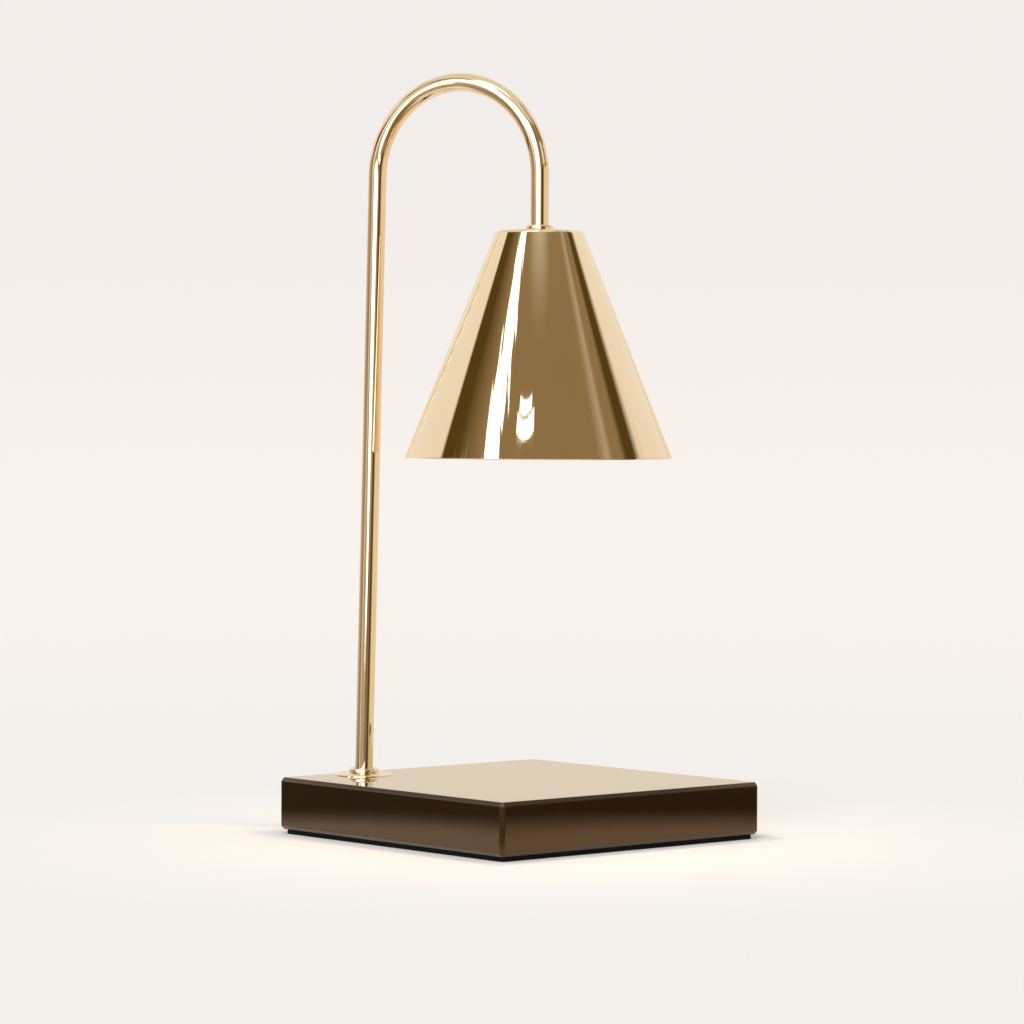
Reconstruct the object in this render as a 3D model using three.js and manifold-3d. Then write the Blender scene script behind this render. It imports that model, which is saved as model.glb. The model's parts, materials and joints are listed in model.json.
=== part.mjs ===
// A candle warmer lamp. A hooked tube stands on a square block and carries a conical shade over it,
// with a reflector bulb in a twist-lock holder inside the shade.
// Lengths are in millimetres, angles in degrees, and +Z is up.
// The origin is the middle of the underside of the base pad, and the block's sides lie along X and Y.

import * as THREE from 'three';
import { mergeVertices } from 'three/addons/utils/BufferGeometryUtils.js';
import Module from 'manifold-3d';

// Clearances, shared by every piece
const fitGap = 0.3;
const cutOverrun = 2;
const threadStandout = 1;

// Base block and pad
const blockSide = 150;
const blockThickness = 23;
const blockChamfer = 1.6;
const padThickness = 2;
const padInset = 2;
const padCornerRadius = 2.5;

// Place of the arm's foot on the block, from its left and front sides
const footFromLeft = 14.5;
const footFromFront = 36.5;
const armTurnDegrees = 19.5;

// Cable way in the underside of the block
const grooveWidth = 8;
const grooveDepth = 8;
const pocketClearance = 1.5;
const bushCornerRadius = 1.2;
const bushLipWidth = 0.9;
const bushLipThickness = 1.2;
const bushSetback = 0.5;
const cordSheathRadius = 2.7;
const cordSheathDepth = 1.6;

// Inner lead
const leadRadius = 1.3;
const leadBendRadius = 5.2;
const leadJointDepth = 1;

// Arm tube
const tubeRadius = 4;
const tubeWall = 1;
const bendRadius = 41;
const stubLength = 21.9;
const postLeanDegrees = 1.3;
const tubeSeatDepth = 1.2;

// Threaded end fittings, with their collars, nuts and washers
const threadRadius = 5;
const flangeRadius = 12.7;
const flangeThickness = 1;
const flangeEdgeThickness = 0.25;
const flangeEdgeRound = 4;
const footCollarRadius = 6.6;
const footCollarHeight = 1.8;
const topCollarRadius = 5.85;
const topCollarHeight = 2.1;
const collarRound = 1;
const nutAcrossFlats = 13;
const nutThickness = 2.7;
const nutChamfer = 0.5;
const frictionWasherRadius = 9.2;
const frictionWasherThickness = 1;
const footWasherRadius = 8.8;
const footWasherThickness = 1.2;
const springWasherRadius = 7.6;
const springWasherThickness = 1.6;
const springWasherSplit = 1.4;
const springSplitDegrees = 30;

// Shade
const candleClearance = 142;
const shadeHeight = 98.5;
const shadeRimRadius = 58;
const shadeTopRadius = 18.7;
const shadeWall = 1;
const shoulderRadius = 2.2;
const shadeWasherRadius = 11;
const shadeWasherThickness = 1;

// Bracket that hangs the lamp holder from the top fitting
const bracketThickness = 1;
const bracketWidth = 13;
const bracketBendRadius = 1.5;
const bracketClearance = 0.8;

// Screws of the lamp holder
const screwRadius = 1.5;
const screwHeadRadius = 2.3;
const screwHeadHeight = 1.6;
const screwDepth = 8;
const screwSlotWidth = 0.7;
const screwSlotDepth = 0.8;

// Lamp holder, with two keyhole slots that the bulb's pins lock in
const holderRadius = 15;
const holderHeight = 14;
const holderChamfer = 0.8;
const holderFace = 3;
const pinClearance = 0.4;
const contactThickness = 0.6;
const contactTailRadius = 0.7;
const contactTailStandout = 1.5;
const terminalPocketRadius = 6.6;
const terminalPocketDepth = 5;
const twistDegrees = 30;

// Reflector bulb
const bulbLength = 50;
const pinCircleRadius = 5;
const pinNeckRadius = 1.3;
const pinHeadRadius = 2.4;
const pinHeadHeight = 2;
const pinSeatDepth = 4;
const bulbBaseHeight = 13;
const bulbBaseTopRadius = 12;
const bulbBaseRadius = 13.4;
const bulbBaseShoulder = 2.5;
const reflectorNeckRadius = 10.4;
const reflectorNeckDepth = 5;
const reflectorRimRadius = 24.6;
const reflectorWall = 1.4;
const capsuleRadius = 4.3;
const capsuleLength = 24;
const frontGlassThickness = 1.6;
const rimRingWall = 0.6;
const rimRingLip = 1.4;

// How finely round forms are divided
const shadeSegments = 72;
const roundSegments = 30;
const smallSegments = 16;
const tubeSegments = 24;
const leadSegments = 8;
const bendSteps = 30;
const leadBendSteps = 15;
const cornerSteps = 4;
const roundSteps = 2;
const reflectorSteps = 6;
const outlineSegments = 4;

const radians = THREE.MathUtils.degToRad;
const inDegrees = THREE.MathUtils.radToDeg;

// Heights from the rest plane up to the block's top, following what stacks in the pocket
const blockBottom = padThickness;
const blockTop = blockBottom + blockThickness;
const leadAxisHeight = blockBottom + grooveDepth / 2;
const leadJointHeight = leadAxisHeight + leadBendRadius + fitGap;
const footSpigotEnd = leadJointHeight - leadJointDepth;
const footNutBottom = footSpigotEnd + threadStandout;
const springWasherBottom = footNutBottom + nutThickness + fitGap;
const footWasherBottom = springWasherBottom + springWasherThickness + fitGap;
const frictionWasherBottom = footWasherBottom + footWasherThickness + fitGap;
const pocketRoof = frictionWasherBottom + frictionWasherThickness;
const pocketRadius = frictionWasherRadius + pocketClearance;

// Heights at the arm's foot
const flangeTop = blockTop + flangeThickness;
const footCollarBottom = flangeTop + fitGap;
const footCollarTop = footCollarBottom + footCollarHeight;
const tubeFootHeight = footCollarTop - tubeSeatDepth;

// Heights at the shade, from its rim up to the bend
const shadeRimHeight = blockTop + candleClearance;
const shadeTopHeight = shadeRimHeight + shadeHeight;
const topCollarBottom = shadeTopHeight + fitGap;
const topCollarTop = topCollarBottom + topCollarHeight;
const tubeStubEnd = topCollarTop - tubeSeatDepth;
const bendCentreHeight = topCollarTop + stubLength;

// Heights below the shade's top, down the stack that hangs from the top fitting
const shadeWasherBottom = shadeTopHeight - shadeWall - fitGap - shadeWasherThickness;
const shadeNutBottom = shadeWasherBottom - fitGap - nutThickness;
const bracketTop = shadeNutBottom - fitGap;
const bracketNutBottom = bracketTop - bracketThickness - fitGap - nutThickness;
const topSpigotEnd = bracketNutBottom - threadStandout;
const bracketFootBottom = topSpigotEnd - bracketClearance;
const bracketFootTop = bracketFootBottom + bracketThickness;
const holderTop = bracketFootBottom - fitGap;
const holderBottom = holderTop - holderHeight;
const terminalPocketFloor = holderTop - terminalPocketDepth;

// Heights of the bulb
const bulbTop = holderBottom - fitGap;
const bulbFront = bulbTop - bulbLength;
const bulbBaseBottom = bulbTop - bulbBaseHeight;
const pinHeadBottom = holderBottom + holderFace + pinClearance;
const pinHeadTop = pinHeadBottom + pinHeadHeight;
const contactBottom = pinHeadTop + pinClearance;
const contactTop = contactBottom + contactThickness;
const channelRoof = contactTop + fitGap;
const frontGlassBottom = bulbFront + rimRingWall + fitGap;
const frontGlassTop = frontGlassBottom + frontGlassThickness;
const reflectorRimHeight = frontGlassTop + fitGap;
const reflectorNeckTop = bulbBaseBottom + reflectorNeckDepth;

// The arm's plane: the post leans towards the shade, and the bend ends straight down
const lean = radians(postLeanDegrees);
const postTopHeight = bendCentreHeight + bendRadius * Math.sin(lean);
const postTopReach = (postTopHeight - tubeFootHeight) * Math.tan(lean);
const bendCentreReach = postTopReach + bendRadius * Math.cos(lean);
const reach = bendCentreReach + bendRadius;

// Radii that follow from the pieces that they fit
const tubeBoreRadius = tubeRadius - tubeWall;
const threadHoleRadius = threadRadius + fitGap;
const tubeSeatRadius = tubeRadius + fitGap;
const leadHoleRadius = leadRadius + fitGap;
const screwHoleRadius = screwRadius + fitGap;
const nutCornerRadius = nutAcrossFlats / 2 / Math.cos(radians(30));
const bracketLegInside = nutCornerRadius + bracketClearance;
const bracketLegOutside = bracketLegInside + bracketThickness;
const screwReach = bracketLegOutside + fitGap + screwHeadRadius;
const bracketFootReach = screwReach + screwHeadRadius;

const footX = footFromLeft - blockSide / 2;
const footY = footFromFront - blockSide / 2;

const wasm = await Module();
wasm.setup();

// Joins and cuts

function welded(geometry) {
  const bare = geometry.clone();
  bare.deleteAttribute('normal');
  bare.deleteAttribute('uv');
  const merged = mergeVertices(bare);
  const corners = merged.index.array;
  const kept = [];
  for (let i = 0; i < corners.length; i += 3) {
    const [a, b, c] = [corners[i], corners[i + 1], corners[i + 2]];
    if (a !== b && b !== c && c !== a) kept.push(a, b, c);
  }
  merged.setIndex(kept);
  return merged;
}

function toSolid(geometry) {
  const closed = welded(geometry);
  const vertProperties = new Float32Array(closed.attributes.position.array);
  const triVerts = new Uint32Array(closed.index.array);
  return new wasm.Manifold(new wasm.Mesh({ numProp: 3, vertProperties, triVerts }));
}

function toGeometry(solid) {
  const { vertProperties, triVerts } = solid.getMesh();
  const geometry = new THREE.BufferGeometry();
  geometry.setAttribute('position', new THREE.BufferAttribute(vertProperties, 3));
  geometry.setIndex(new THREE.BufferAttribute(triVerts, 1));
  return geometry;
}

function cut(body, ...tools) {
  const result = tools.reduce((solid, tool) => solid.subtract(toSolid(tool)), toSolid(body));
  return toGeometry(result);
}

function join(first, ...others) {
  const result = others.reduce((solid, other) => solid.add(toSolid(other)), toSolid(first));
  return toGeometry(result);
}

function common(first, second) {
  return toGeometry(toSolid(first).intersect(toSolid(second)));
}

// Round and extruded forms, all standing along Z

function revolve(profile, segments = roundSegments) {
  const points = profile.map(([radius, height]) => new THREE.Vector2(radius, height));
  return new THREE.LatheGeometry(points, segments).rotateX(Math.PI / 2);
}

function rod(radius, bottom, top, segments = roundSegments) {
  const middle = (bottom + top) / 2;
  return new THREE.CylinderGeometry(radius, radius, top - bottom, segments)
    .rotateX(Math.PI / 2)
    .translate(0, 0, middle);
}

function ring(innerRadius, outerRadius, bottom, top, segments = roundSegments) {
  const profile = [
    [innerRadius, bottom],
    [outerRadius, bottom],
    [outerRadius, top],
    [innerRadius, top],
    [innerRadius, bottom],
  ];
  return revolve(profile, segments);
}

function prism(shape, bottom, top, curveSegments = outlineSegments) {
  const settings = { depth: top - bottom, bevelEnabled: false, curveSegments };
  return new THREE.ExtrudeGeometry(shape, settings).translate(0, 0, bottom);
}

function arcPoints(centreRadius, centreHeight, radius, fromDegrees, toDegrees, steps = cornerSteps) {
  return Array.from({ length: steps + 1 }, (_, i) => {
    const angle = radians(fromDegrees + ((toDegrees - fromDegrees) * i) / steps);
    return [centreRadius + radius * Math.cos(angle), centreHeight + radius * Math.sin(angle)];
  });
}

function roundedRectangle(width, height, cornerRadius) {
  const x = width / 2 - cornerRadius;
  const y = height / 2 - cornerRadius;
  const shape = new THREE.Shape();
  shape.absarc(x, y, cornerRadius, 0, Math.PI / 2);
  shape.absarc(-x, y, cornerRadius, Math.PI / 2, Math.PI);
  shape.absarc(-x, -y, cornerRadius, Math.PI, Math.PI * 1.5);
  shape.absarc(x, -y, cornerRadius, Math.PI * 1.5, Math.PI * 2);
  shape.closePath();
  return shape;
}

function circle(radius, centreX = 0, centreY = 0) {
  return new THREE.Path().absarc(centreX, centreY, radius, 0, Math.PI * 2, true);
}

// Sweeps along the arm. A path is a list of stations, each a place and a heading,
// and the swept section has one ring at each of them.

class StationPath extends THREE.Curve {
  constructor(stations) {
    super();
    this.stations = stations;
  }

  getPoint(t, target = new THREE.Vector3()) {
    const last = this.stations.length - 1;
    const along = Math.min(t, 1) * last;
    const index = Math.min(Math.floor(along), last - 1);
    return target.lerpVectors(this.stations[index].place, this.stations[index + 1].place, along - index);
  }

  getTangent(t, target = new THREE.Vector3()) {
    const nearest = Math.round(t * (this.stations.length - 1));
    return target.copy(this.stations[nearest].heading);
  }

  getUtoTmapping(u) {
    return u;
  }
}

function station(x, z, headingX, headingZ) {
  return { place: new THREE.Vector3(x, 0, z), heading: new THREE.Vector3(headingX, 0, headingZ) };
}

function bendStations(steps) {
  const start = Math.PI - lean;
  return Array.from({ length: steps + 1 }, (_, i) => {
    const angle = start * (1 - i / steps);
    const x = bendCentreReach + bendRadius * Math.cos(angle);
    const z = bendCentreHeight + bendRadius * Math.sin(angle);
    return station(x, z, Math.sin(angle), -Math.cos(angle));
  });
}

function sweep(shape, stations, curveSegments) {
  const extrudePath = new StationPath(stations);
  const steps = stations.length - 1;
  return new THREE.ExtrudeGeometry(shape, { steps, extrudePath, curveSegments });
}

function disc(radius) {
  return new THREE.Shape().absarc(0, 0, radius, 0, Math.PI * 2);
}

// Materials

function finish(color, roughness, metalness) {
  return new THREE.MeshStandardMaterial({ color, roughness, metalness });
}

const polishedGold = () => finish(0xd8b36a, 0.1, 1);
const smokedGlass = () => finish(0x2b1e15, 0.06, 0);
const blackRubber = () => finish(0x17140f, 0.85, 0);
const zincSteel = () => finish(0xb9bcc0, 0.35, 1);
const fibre = () => finish(0x8d2f22, 0.8, 0);
const whiteCeramic = () => finish(0xece7dc, 0.45, 0);
const contactBrass = () => finish(0xc9a24d, 0.3, 1);
const leadSleeve = () => finish(0xd9d4c7, 0.5, 0);
const mirrorGlass = () => finish(0xcfd3d8, 0.08, 0.9);
const clearGlass = () => finish(0xf2f4f2, 0.05, 0);
const brightAluminium = () => finish(0xd5d7da, 0.25, 1);

function piece(name, geometry, material) {
  const mesh = new THREE.Mesh(geometry, material);
  mesh.name = name;
  return mesh;
}

// Repeated pieces share a material, and their names end in their number.
function pieces(name, geometries, material) {
  return geometries.map((geometry, i) => piece(`${name}_${i + 1}`, geometry, material));
}

// Base

function baseBlock() {
  const half = blockSide / 2;
  const flat = half - blockChamfer;
  const outline = new THREE.Shape([
    new THREE.Vector2(half, -flat),
    new THREE.Vector2(half, flat),
    new THREE.Vector2(flat, half),
    new THREE.Vector2(-flat, half),
    new THREE.Vector2(-half, flat),
    new THREE.Vector2(-half, -flat),
    new THREE.Vector2(-flat, -half),
    new THREE.Vector2(flat, -half),
  ]);
  const block = new THREE.ExtrudeGeometry(outline, {
    depth: blockThickness - 2 * blockChamfer,
    bevelThickness: blockChamfer,
    bevelSize: blockChamfer,
    bevelOffset: -blockChamfer,
    bevelSegments: 1,
  }).translate(0, 0, blockBottom + blockChamfer);
  const below = blockBottom - cutOverrun;
  const hole = rod(threadHoleRadius, below, blockTop + cutOverrun).translate(footX, footY, 0);
  const pocket = rod(pocketRadius, below, pocketRoof).translate(footX, footY, 0);
  const grooveLength = footFromLeft + cutOverrun;
  const grooveHeight = grooveDepth + cutOverrun;
  const groove = new THREE.BoxGeometry(grooveLength, grooveWidth, grooveHeight)
    .translate(footX - grooveLength / 2, footY, below + grooveHeight / 2);
  return cut(block, hole, pocket, groove);
}

function basePad() {
  const side = blockSide - 2 * padInset;
  return prism(roundedRectangle(side, side, padCornerRadius), 0, padThickness);
}

// The flange thins towards its edge in an arc that leaves its flat top without a corner.
function footFlange() {
  const roundCentre = flangeTop - flangeEdgeRound;
  const edgeRise = blockTop + flangeEdgeThickness - roundCentre;
  const shoulder = flangeRadius - Math.sqrt(flangeEdgeRound ** 2 - edgeRise ** 2);
  const edgeDegrees = inDegrees(Math.asin(edgeRise / flangeEdgeRound));
  const edge = arcPoints(shoulder, roundCentre, flangeEdgeRound, edgeDegrees, 90, roundSteps);
  const profile = [
    [threadHoleRadius, blockTop],
    [flangeRadius, blockTop],
    ...edge,
    [threadHoleRadius, flangeTop],
    [threadHoleRadius, blockTop],
  ];
  return revolve(profile);
}

// The bush lies along X: a lip in the pocket, a neck in the groove, and a stepped bore for the cord.
function cableBush() {
  const neckSide = Math.min(grooveWidth, grooveDepth) - 2 * fitGap;
  const lipSide = neckSide + 2 * bushLipWidth;
  const lipHeight = neckSide + bushLipWidth;
  const outerFace = footFromLeft - bushSetback;
  const lipOuter = Math.sqrt(pocketRadius ** 2 - (lipSide / 2) ** 2) - fitGap;
  const lipInner = lipOuter - bushLipThickness;
  const neck = prism(roundedRectangle(neckSide, neckSide, bushCornerRadius), lipInner, outerFace);
  const lip = prism(roundedRectangle(lipHeight, lipSide, bushCornerRadius), lipInner, lipOuter)
    .translate(bushLipWidth / 2, 0, 0);
  const wireHole = rod(leadHoleRadius, lipInner - cutOverrun, outerFace + cutOverrun, smallSegments);
  const seatFloor = outerFace - cordSheathDepth;
  const sheathSeat = rod(cordSheathRadius, seatFloor, outerFace + cutOverrun, smallSegments);
  return cut(join(neck, lip), wireHole, sheathSeat).rotateY(-Math.PI / 2).translate(0, 0, leadAxisHeight);
}

function baseLead() {
  const end = -(footFromLeft - bushSetback - cordSheathDepth - fitGap);
  const stations = [station(0, leadJointHeight, 0, -1)];
  for (let i = 0; i <= cornerSteps; i += 1) {
    const angle = ((Math.PI / 2) * i) / cornerSteps;
    const x = leadBendRadius * (Math.cos(angle) - 1);
    const z = leadAxisHeight + leadBendRadius * (1 - Math.sin(angle));
    stations.push(station(x, z, -Math.sin(angle), -Math.cos(angle)));
  }
  stations.push(station(end, leadAxisHeight, -1, 0));
  return sweep(disc(leadRadius), stations, leadSegments / 2);
}

// Nuts and washers

function hexNut(bottom) {
  const hexagon = new THREE.Shape();
  for (let i = 0; i < 6; i += 1) {
    const angle = (Math.PI / 3) * i;
    const x = nutCornerRadius * Math.cos(angle);
    const y = nutCornerRadius * Math.sin(angle);
    if (i === 0) hexagon.moveTo(x, y);
    else hexagon.lineTo(x, y);
  }
  hexagon.closePath();
  const top = bottom + nutThickness;
  const faceRadius = nutCornerRadius - nutChamfer;
  const chamfered = revolve([
    [0, bottom],
    [faceRadius, bottom],
    [nutCornerRadius, bottom + nutChamfer],
    [nutCornerRadius, top - nutChamfer],
    [faceRadius, top],
    [0, top],
  ]);
  const blank = common(prism(hexagon, bottom, top), chamfered);
  return cut(blank, rod(threadHoleRadius, bottom - cutOverrun, top + cutOverrun));
}

function flatWasher(radius, bottom, thickness) {
  return ring(threadHoleRadius, radius, bottom, bottom + thickness);
}

function springWasher() {
  const top = springWasherBottom + springWasherThickness;
  const washer = ring(threadHoleRadius, springWasherRadius, springWasherBottom, top);
  const split = new THREE.BoxGeometry(springWasherRadius, springWasherSplit, springWasherRadius)
    .rotateX(radians(springSplitDegrees))
    .translate(springWasherRadius, 0, (springWasherBottom + top) / 2);
  return cut(washer, split);
}

// End fittings: a collar with a seat for the tube, over a threaded spigot that the lead runs through

function endFitting(collarRadius, collarBottom, collarTop, spigotEnd) {
  const seatFloor = collarTop - tubeSeatDepth - fitGap;
  const roundCentre = collarRadius - collarRound;
  const round = arcPoints(roundCentre, collarTop - collarRound, collarRound, 0, 90, roundSteps);
  const profile = [
    [tubeBoreRadius, spigotEnd],
    [threadRadius, spigotEnd],
    [threadRadius, collarBottom],
    [collarRadius, collarBottom],
    ...round,
    [tubeSeatRadius, collarTop],
    [tubeSeatRadius, seatFloor],
    [tubeBoreRadius, seatFloor],
    [tubeBoreRadius, spigotEnd],
  ];
  return revolve(profile);
}

// Arm

function armTube() {
  const section = disc(tubeRadius);
  section.holes.push(circle(tubeBoreRadius));
  const stations = [
    station(0, tubeFootHeight, Math.sin(lean), Math.cos(lean)),
    ...bendStations(bendSteps),
    station(reach, tubeStubEnd, 0, -1),
  ];
  return sweep(section, stations, tubeSegments / 2);
}

function armLead() {
  const stations = [
    station(0, leadJointHeight + fitGap, 0, 1),
    station(0, tubeFootHeight, Math.sin(lean / 2), Math.cos(lean / 2)),
    ...bendStations(leadBendSteps),
    station(reach, terminalPocketFloor + fitGap, 0, -1),
  ];
  return sweep(disc(leadRadius), stations, leadSegments / 2);
}

// The shade is a spun cone with a rounded shoulder, a flat top and an open rim.
function shade() {
  const rise = Math.atan2(shadeRimRadius - shadeTopRadius, shadeHeight);
  const sideDegrees = THREE.MathUtils.radToDeg(rise);
  const tangentLength = (shoulderRadius * (1 - Math.sin(rise))) / Math.cos(rise);
  const shoulderCentre = shadeTopRadius - tangentLength;
  const shoulderHeight = shadeTopHeight - shoulderRadius;
  const rimWall = shadeWall / Math.cos(rise);
  const outside = arcPoints(shoulderCentre, shoulderHeight, shoulderRadius, sideDegrees, 90);
  const inside = arcPoints(shoulderCentre, shoulderHeight, shoulderRadius - shadeWall, 90, sideDegrees);
  const profile = [
    [shadeRimRadius - rimWall, shadeRimHeight],
    [shadeRimRadius, shadeRimHeight],
    ...outside,
    [threadHoleRadius, shadeTopHeight],
    [threadHoleRadius, shadeTopHeight - shadeWall],
    ...inside,
    [shadeRimRadius - rimWall, shadeRimHeight],
  ];
  return revolve(profile, shadeSegments);
}

// Lamp holder

// One half of the bracket's outline, from the middle of its plate to the end of its foot.
function bracketOutline() {
  const outer = bracketBendRadius;
  const inner = bracketBendRadius - bracketThickness;
  const plateBottom = bracketTop - bracketThickness;
  const shape = new THREE.Shape();
  shape.moveTo(-bracketFootReach, bracketFootBottom);
  shape.lineTo(-bracketLegInside, bracketFootBottom);
  shape.lineTo(-bracketLegInside, plateBottom);
  shape.lineTo(bracketLegInside, plateBottom);
  shape.lineTo(bracketLegInside, bracketFootBottom);
  shape.lineTo(bracketFootReach, bracketFootBottom);
  shape.lineTo(bracketFootReach, bracketFootTop);
  shape.absarc(bracketLegOutside + inner, bracketFootTop + inner, inner, -Math.PI / 2, -Math.PI, true);
  shape.absarc(bracketLegOutside - outer, bracketTop - outer, outer, 0, Math.PI / 2);
  shape.absarc(outer - bracketLegOutside, bracketTop - outer, outer, Math.PI / 2, Math.PI);
  shape.absarc(-bracketLegOutside - inner, bracketFootTop + inner, inner, 0, -Math.PI / 2, true);
  shape.lineTo(-bracketFootReach, bracketFootTop);
  shape.closePath();
  return shape;
}

function holderBracket() {
  const half = bracketWidth / 2;
  const strap = prism(bracketOutline(), -half, half, cornerSteps).rotateX(Math.PI / 2);
  const below = bracketFootBottom - cutOverrun;
  const centreHole = rod(threadHoleRadius, bracketFootTop, bracketTop + cutOverrun);
  const screwHoles = [-screwReach, screwReach].map((x) =>
    rod(screwHoleRadius, below, bracketFootTop + cutOverrun, smallSegments).translate(x, 0, 0));
  return cut(strap, centreHole, ...screwHoles);
}

// An arc-shaped slot about the holder's axis, with round ends.
function arcSlot(halfWidth, fromDegrees, toDegrees) {
  const from = radians(fromDegrees);
  const to = radians(toDegrees);
  const endX = pinCircleRadius * Math.cos(to);
  const endY = pinCircleRadius * Math.sin(to);
  const startX = pinCircleRadius * Math.cos(from);
  const startY = pinCircleRadius * Math.sin(from);
  const shape = new THREE.Shape();
  shape.absarc(0, 0, pinCircleRadius + halfWidth, from, to);
  shape.absarc(endX, endY, halfWidth, to, to + Math.PI);
  shape.absarc(0, 0, pinCircleRadius - halfWidth, to, from, true);
  shape.absarc(startX, startY, halfWidth, from + Math.PI, from + Math.PI * 2);
  return shape;
}

// The pins rest at 90 and 270 degrees, and unlocking turns them back by the twist.
const pinDegrees = [90, 270];

function lampHolder() {
  const inner = holderRadius - holderChamfer;
  const body = revolve([
    [0, holderBottom],
    [inner, holderBottom],
    [holderRadius, holderBottom + holderChamfer],
    [holderRadius, holderTop - holderChamfer],
    [inner, holderTop],
    [0, holderTop],
  ]);
  const headRoom = pinHeadRadius + pinClearance;
  const neckRoom = pinNeckRadius + pinClearance;
  const below = holderBottom - cutOverrun;
  const channelFloor = holderBottom + holderFace;
  const tools = [rod(terminalPocketRadius, terminalPocketFloor, holderTop + cutOverrun)];
  for (const degrees of pinDegrees) {
    const unlocked = degrees - twistDegrees;
    const middle = radians(degrees - twistDegrees / 2);
    const tailX = pinCircleRadius * Math.cos(middle);
    const tailY = pinCircleRadius * Math.sin(middle);
    const entryX = pinCircleRadius * Math.cos(radians(unlocked));
    const entryY = pinCircleRadius * Math.sin(radians(unlocked));
    tools.push(
      rod(headRoom, below, channelRoof, smallSegments).translate(entryX, entryY, 0),
      prism(arcSlot(neckRoom, unlocked, degrees), below, channelRoof),
      prism(arcSlot(headRoom, unlocked, degrees), channelFloor, channelRoof),
      rod(contactTailRadius + fitGap, contactTop, holderTop, smallSegments).translate(tailX, tailY, 0),
    );
  }
  for (const x of [-screwReach, screwReach]) {
    const screwEnd = bracketFootTop - screwDepth;
    tools.push(rod(screwHoleRadius, screwEnd, holderTop + cutOverrun, smallSegments).translate(x, 0, 0));
  }
  return cut(body, ...tools);
}

function holderContacts() {
  const halfWidth = pinHeadRadius + pinClearance - fitGap;
  const tailTop = terminalPocketFloor + contactTailStandout;
  return pinDegrees.map((degrees) => {
    const middle = radians(degrees - twistDegrees / 2);
    const tailX = pinCircleRadius * Math.cos(middle);
    const tailY = pinCircleRadius * Math.sin(middle);
    const strip = prism(arcSlot(halfWidth, degrees - twistDegrees, degrees), contactBottom, contactTop);
    const tail = rod(contactTailRadius, contactBottom, tailTop, smallSegments).translate(tailX, tailY, 0);
    return join(strip, tail);
  });
}

function holderScrews() {
  const headBottom = bracketFootTop + fitGap;
  const headTop = headBottom + screwHeadHeight;
  const shankEnd = bracketFootTop - screwDepth + fitGap;
  const round = screwHeadHeight / 2;
  const blank = revolve([
    [0, shankEnd],
    [screwRadius, shankEnd],
    [screwRadius, headBottom],
    [screwHeadRadius, headBottom],
    ...arcPoints(screwHeadRadius - round, headTop - round, round, 0, 90, roundSteps),
    [0, headTop],
  ], smallSegments);
  const slot = new THREE.BoxGeometry(2 * screwHeadRadius + cutOverrun, screwSlotWidth, 2 * screwSlotDepth)
    .translate(0, 0, headTop);
  const screw = cut(blank, slot);
  return [-screwReach, screwReach].map((x) => screw.clone().translate(x, 0, 0));
}

// Bulb

function bulbBase() {
  const neckRoom = reflectorNeckRadius + fitGap;
  const neckCeiling = reflectorNeckTop + fitGap;
  const body = revolve([
    [0, neckCeiling],
    [neckRoom, neckCeiling],
    [neckRoom, bulbBaseBottom],
    [bulbBaseRadius, bulbBaseBottom],
    [bulbBaseRadius, bulbTop - bulbBaseShoulder],
    [bulbBaseTopRadius, bulbTop],
    [0, bulbTop],
  ]);
  const seatFloor = bulbTop - pinSeatDepth;
  const holes = pinPlaces().map(([x, y]) =>
    rod(pinNeckRadius + fitGap, seatFloor, bulbTop + cutOverrun, smallSegments).translate(x, y, 0));
  return cut(body, ...holes);
}

function pinPlaces() {
  return pinDegrees.map((degrees) => [
    pinCircleRadius * Math.cos(radians(degrees)),
    pinCircleRadius * Math.sin(radians(degrees)),
  ]);
}

function bulbPins() {
  const seat = bulbTop - pinSeatDepth + fitGap;
  const headRound = pinHeadHeight / 4;
  const pin = revolve([
    [0, seat],
    [pinNeckRadius, seat],
    [pinNeckRadius, pinHeadBottom],
    [pinHeadRadius, pinHeadBottom],
    [pinHeadRadius, pinHeadTop - headRound],
    [pinHeadRadius - headRound, pinHeadTop],
    [0, pinHeadTop],
  ], smallSegments);
  return pinPlaces().map(([x, y]) => pin.clone().translate(x, y, 0));
}

// A reflector opens from its neck as a parabola does: the square of its radius grows with its depth.
function reflectorRadius(height, neckRadius, rimRadius) {
  const depthShare = (bulbBaseBottom - height) / (bulbBaseBottom - reflectorRimHeight);
  return Math.sqrt(neckRadius ** 2 + (rimRadius ** 2 - neckRadius ** 2) * depthShare);
}

function bulbReflector() {
  const boreRadius = capsuleRadius + fitGap;
  const depth = bulbBaseBottom - reflectorRimHeight;
  const heights = Array.from({ length: reflectorSteps + 1 }, (_, i) =>
    bulbBaseBottom - (depth * i) / reflectorSteps);
  const insideRim = reflectorRimRadius - reflectorWall;
  const outside = heights.map((z) => [reflectorRadius(z, reflectorNeckRadius, reflectorRimRadius), z]);
  const inside = heights.map((z) => [reflectorRadius(z, boreRadius, insideRim), z]);
  const profile = [
    [boreRadius, reflectorNeckTop],
    ...inside,
    ...outside.reverse(),
    [reflectorNeckRadius, reflectorNeckTop],
    [boreRadius, reflectorNeckTop],
  ];
  return revolve(profile);
}

function bulbCapsule() {
  const top = reflectorNeckTop;
  const domeCentre = top - capsuleLength + capsuleRadius;
  return revolve([
    ...arcPoints(0, domeCentre, capsuleRadius, -90, 0),
    [capsuleRadius, top],
    [0, top],
  ], smallSegments);
}

function bulbRing() {
  const inside = reflectorRimRadius + fitGap;
  const outside = inside + rimRingWall;
  const lipInside = reflectorRimRadius - rimRingLip;
  const lipTop = bulbFront + rimRingWall;
  const ringTop = reflectorRimHeight + rimRingLip / 2;
  return revolve([
    [lipInside, bulbFront],
    [outside - rimRingWall / 2, bulbFront],
    [outside, bulbFront + rimRingWall / 2],
    [outside, ringTop],
    [inside, ringTop],
    [inside, lipTop],
    [lipInside, lipTop],
    [lipInside, bulbFront],
  ]);
}

// Assembly

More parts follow.
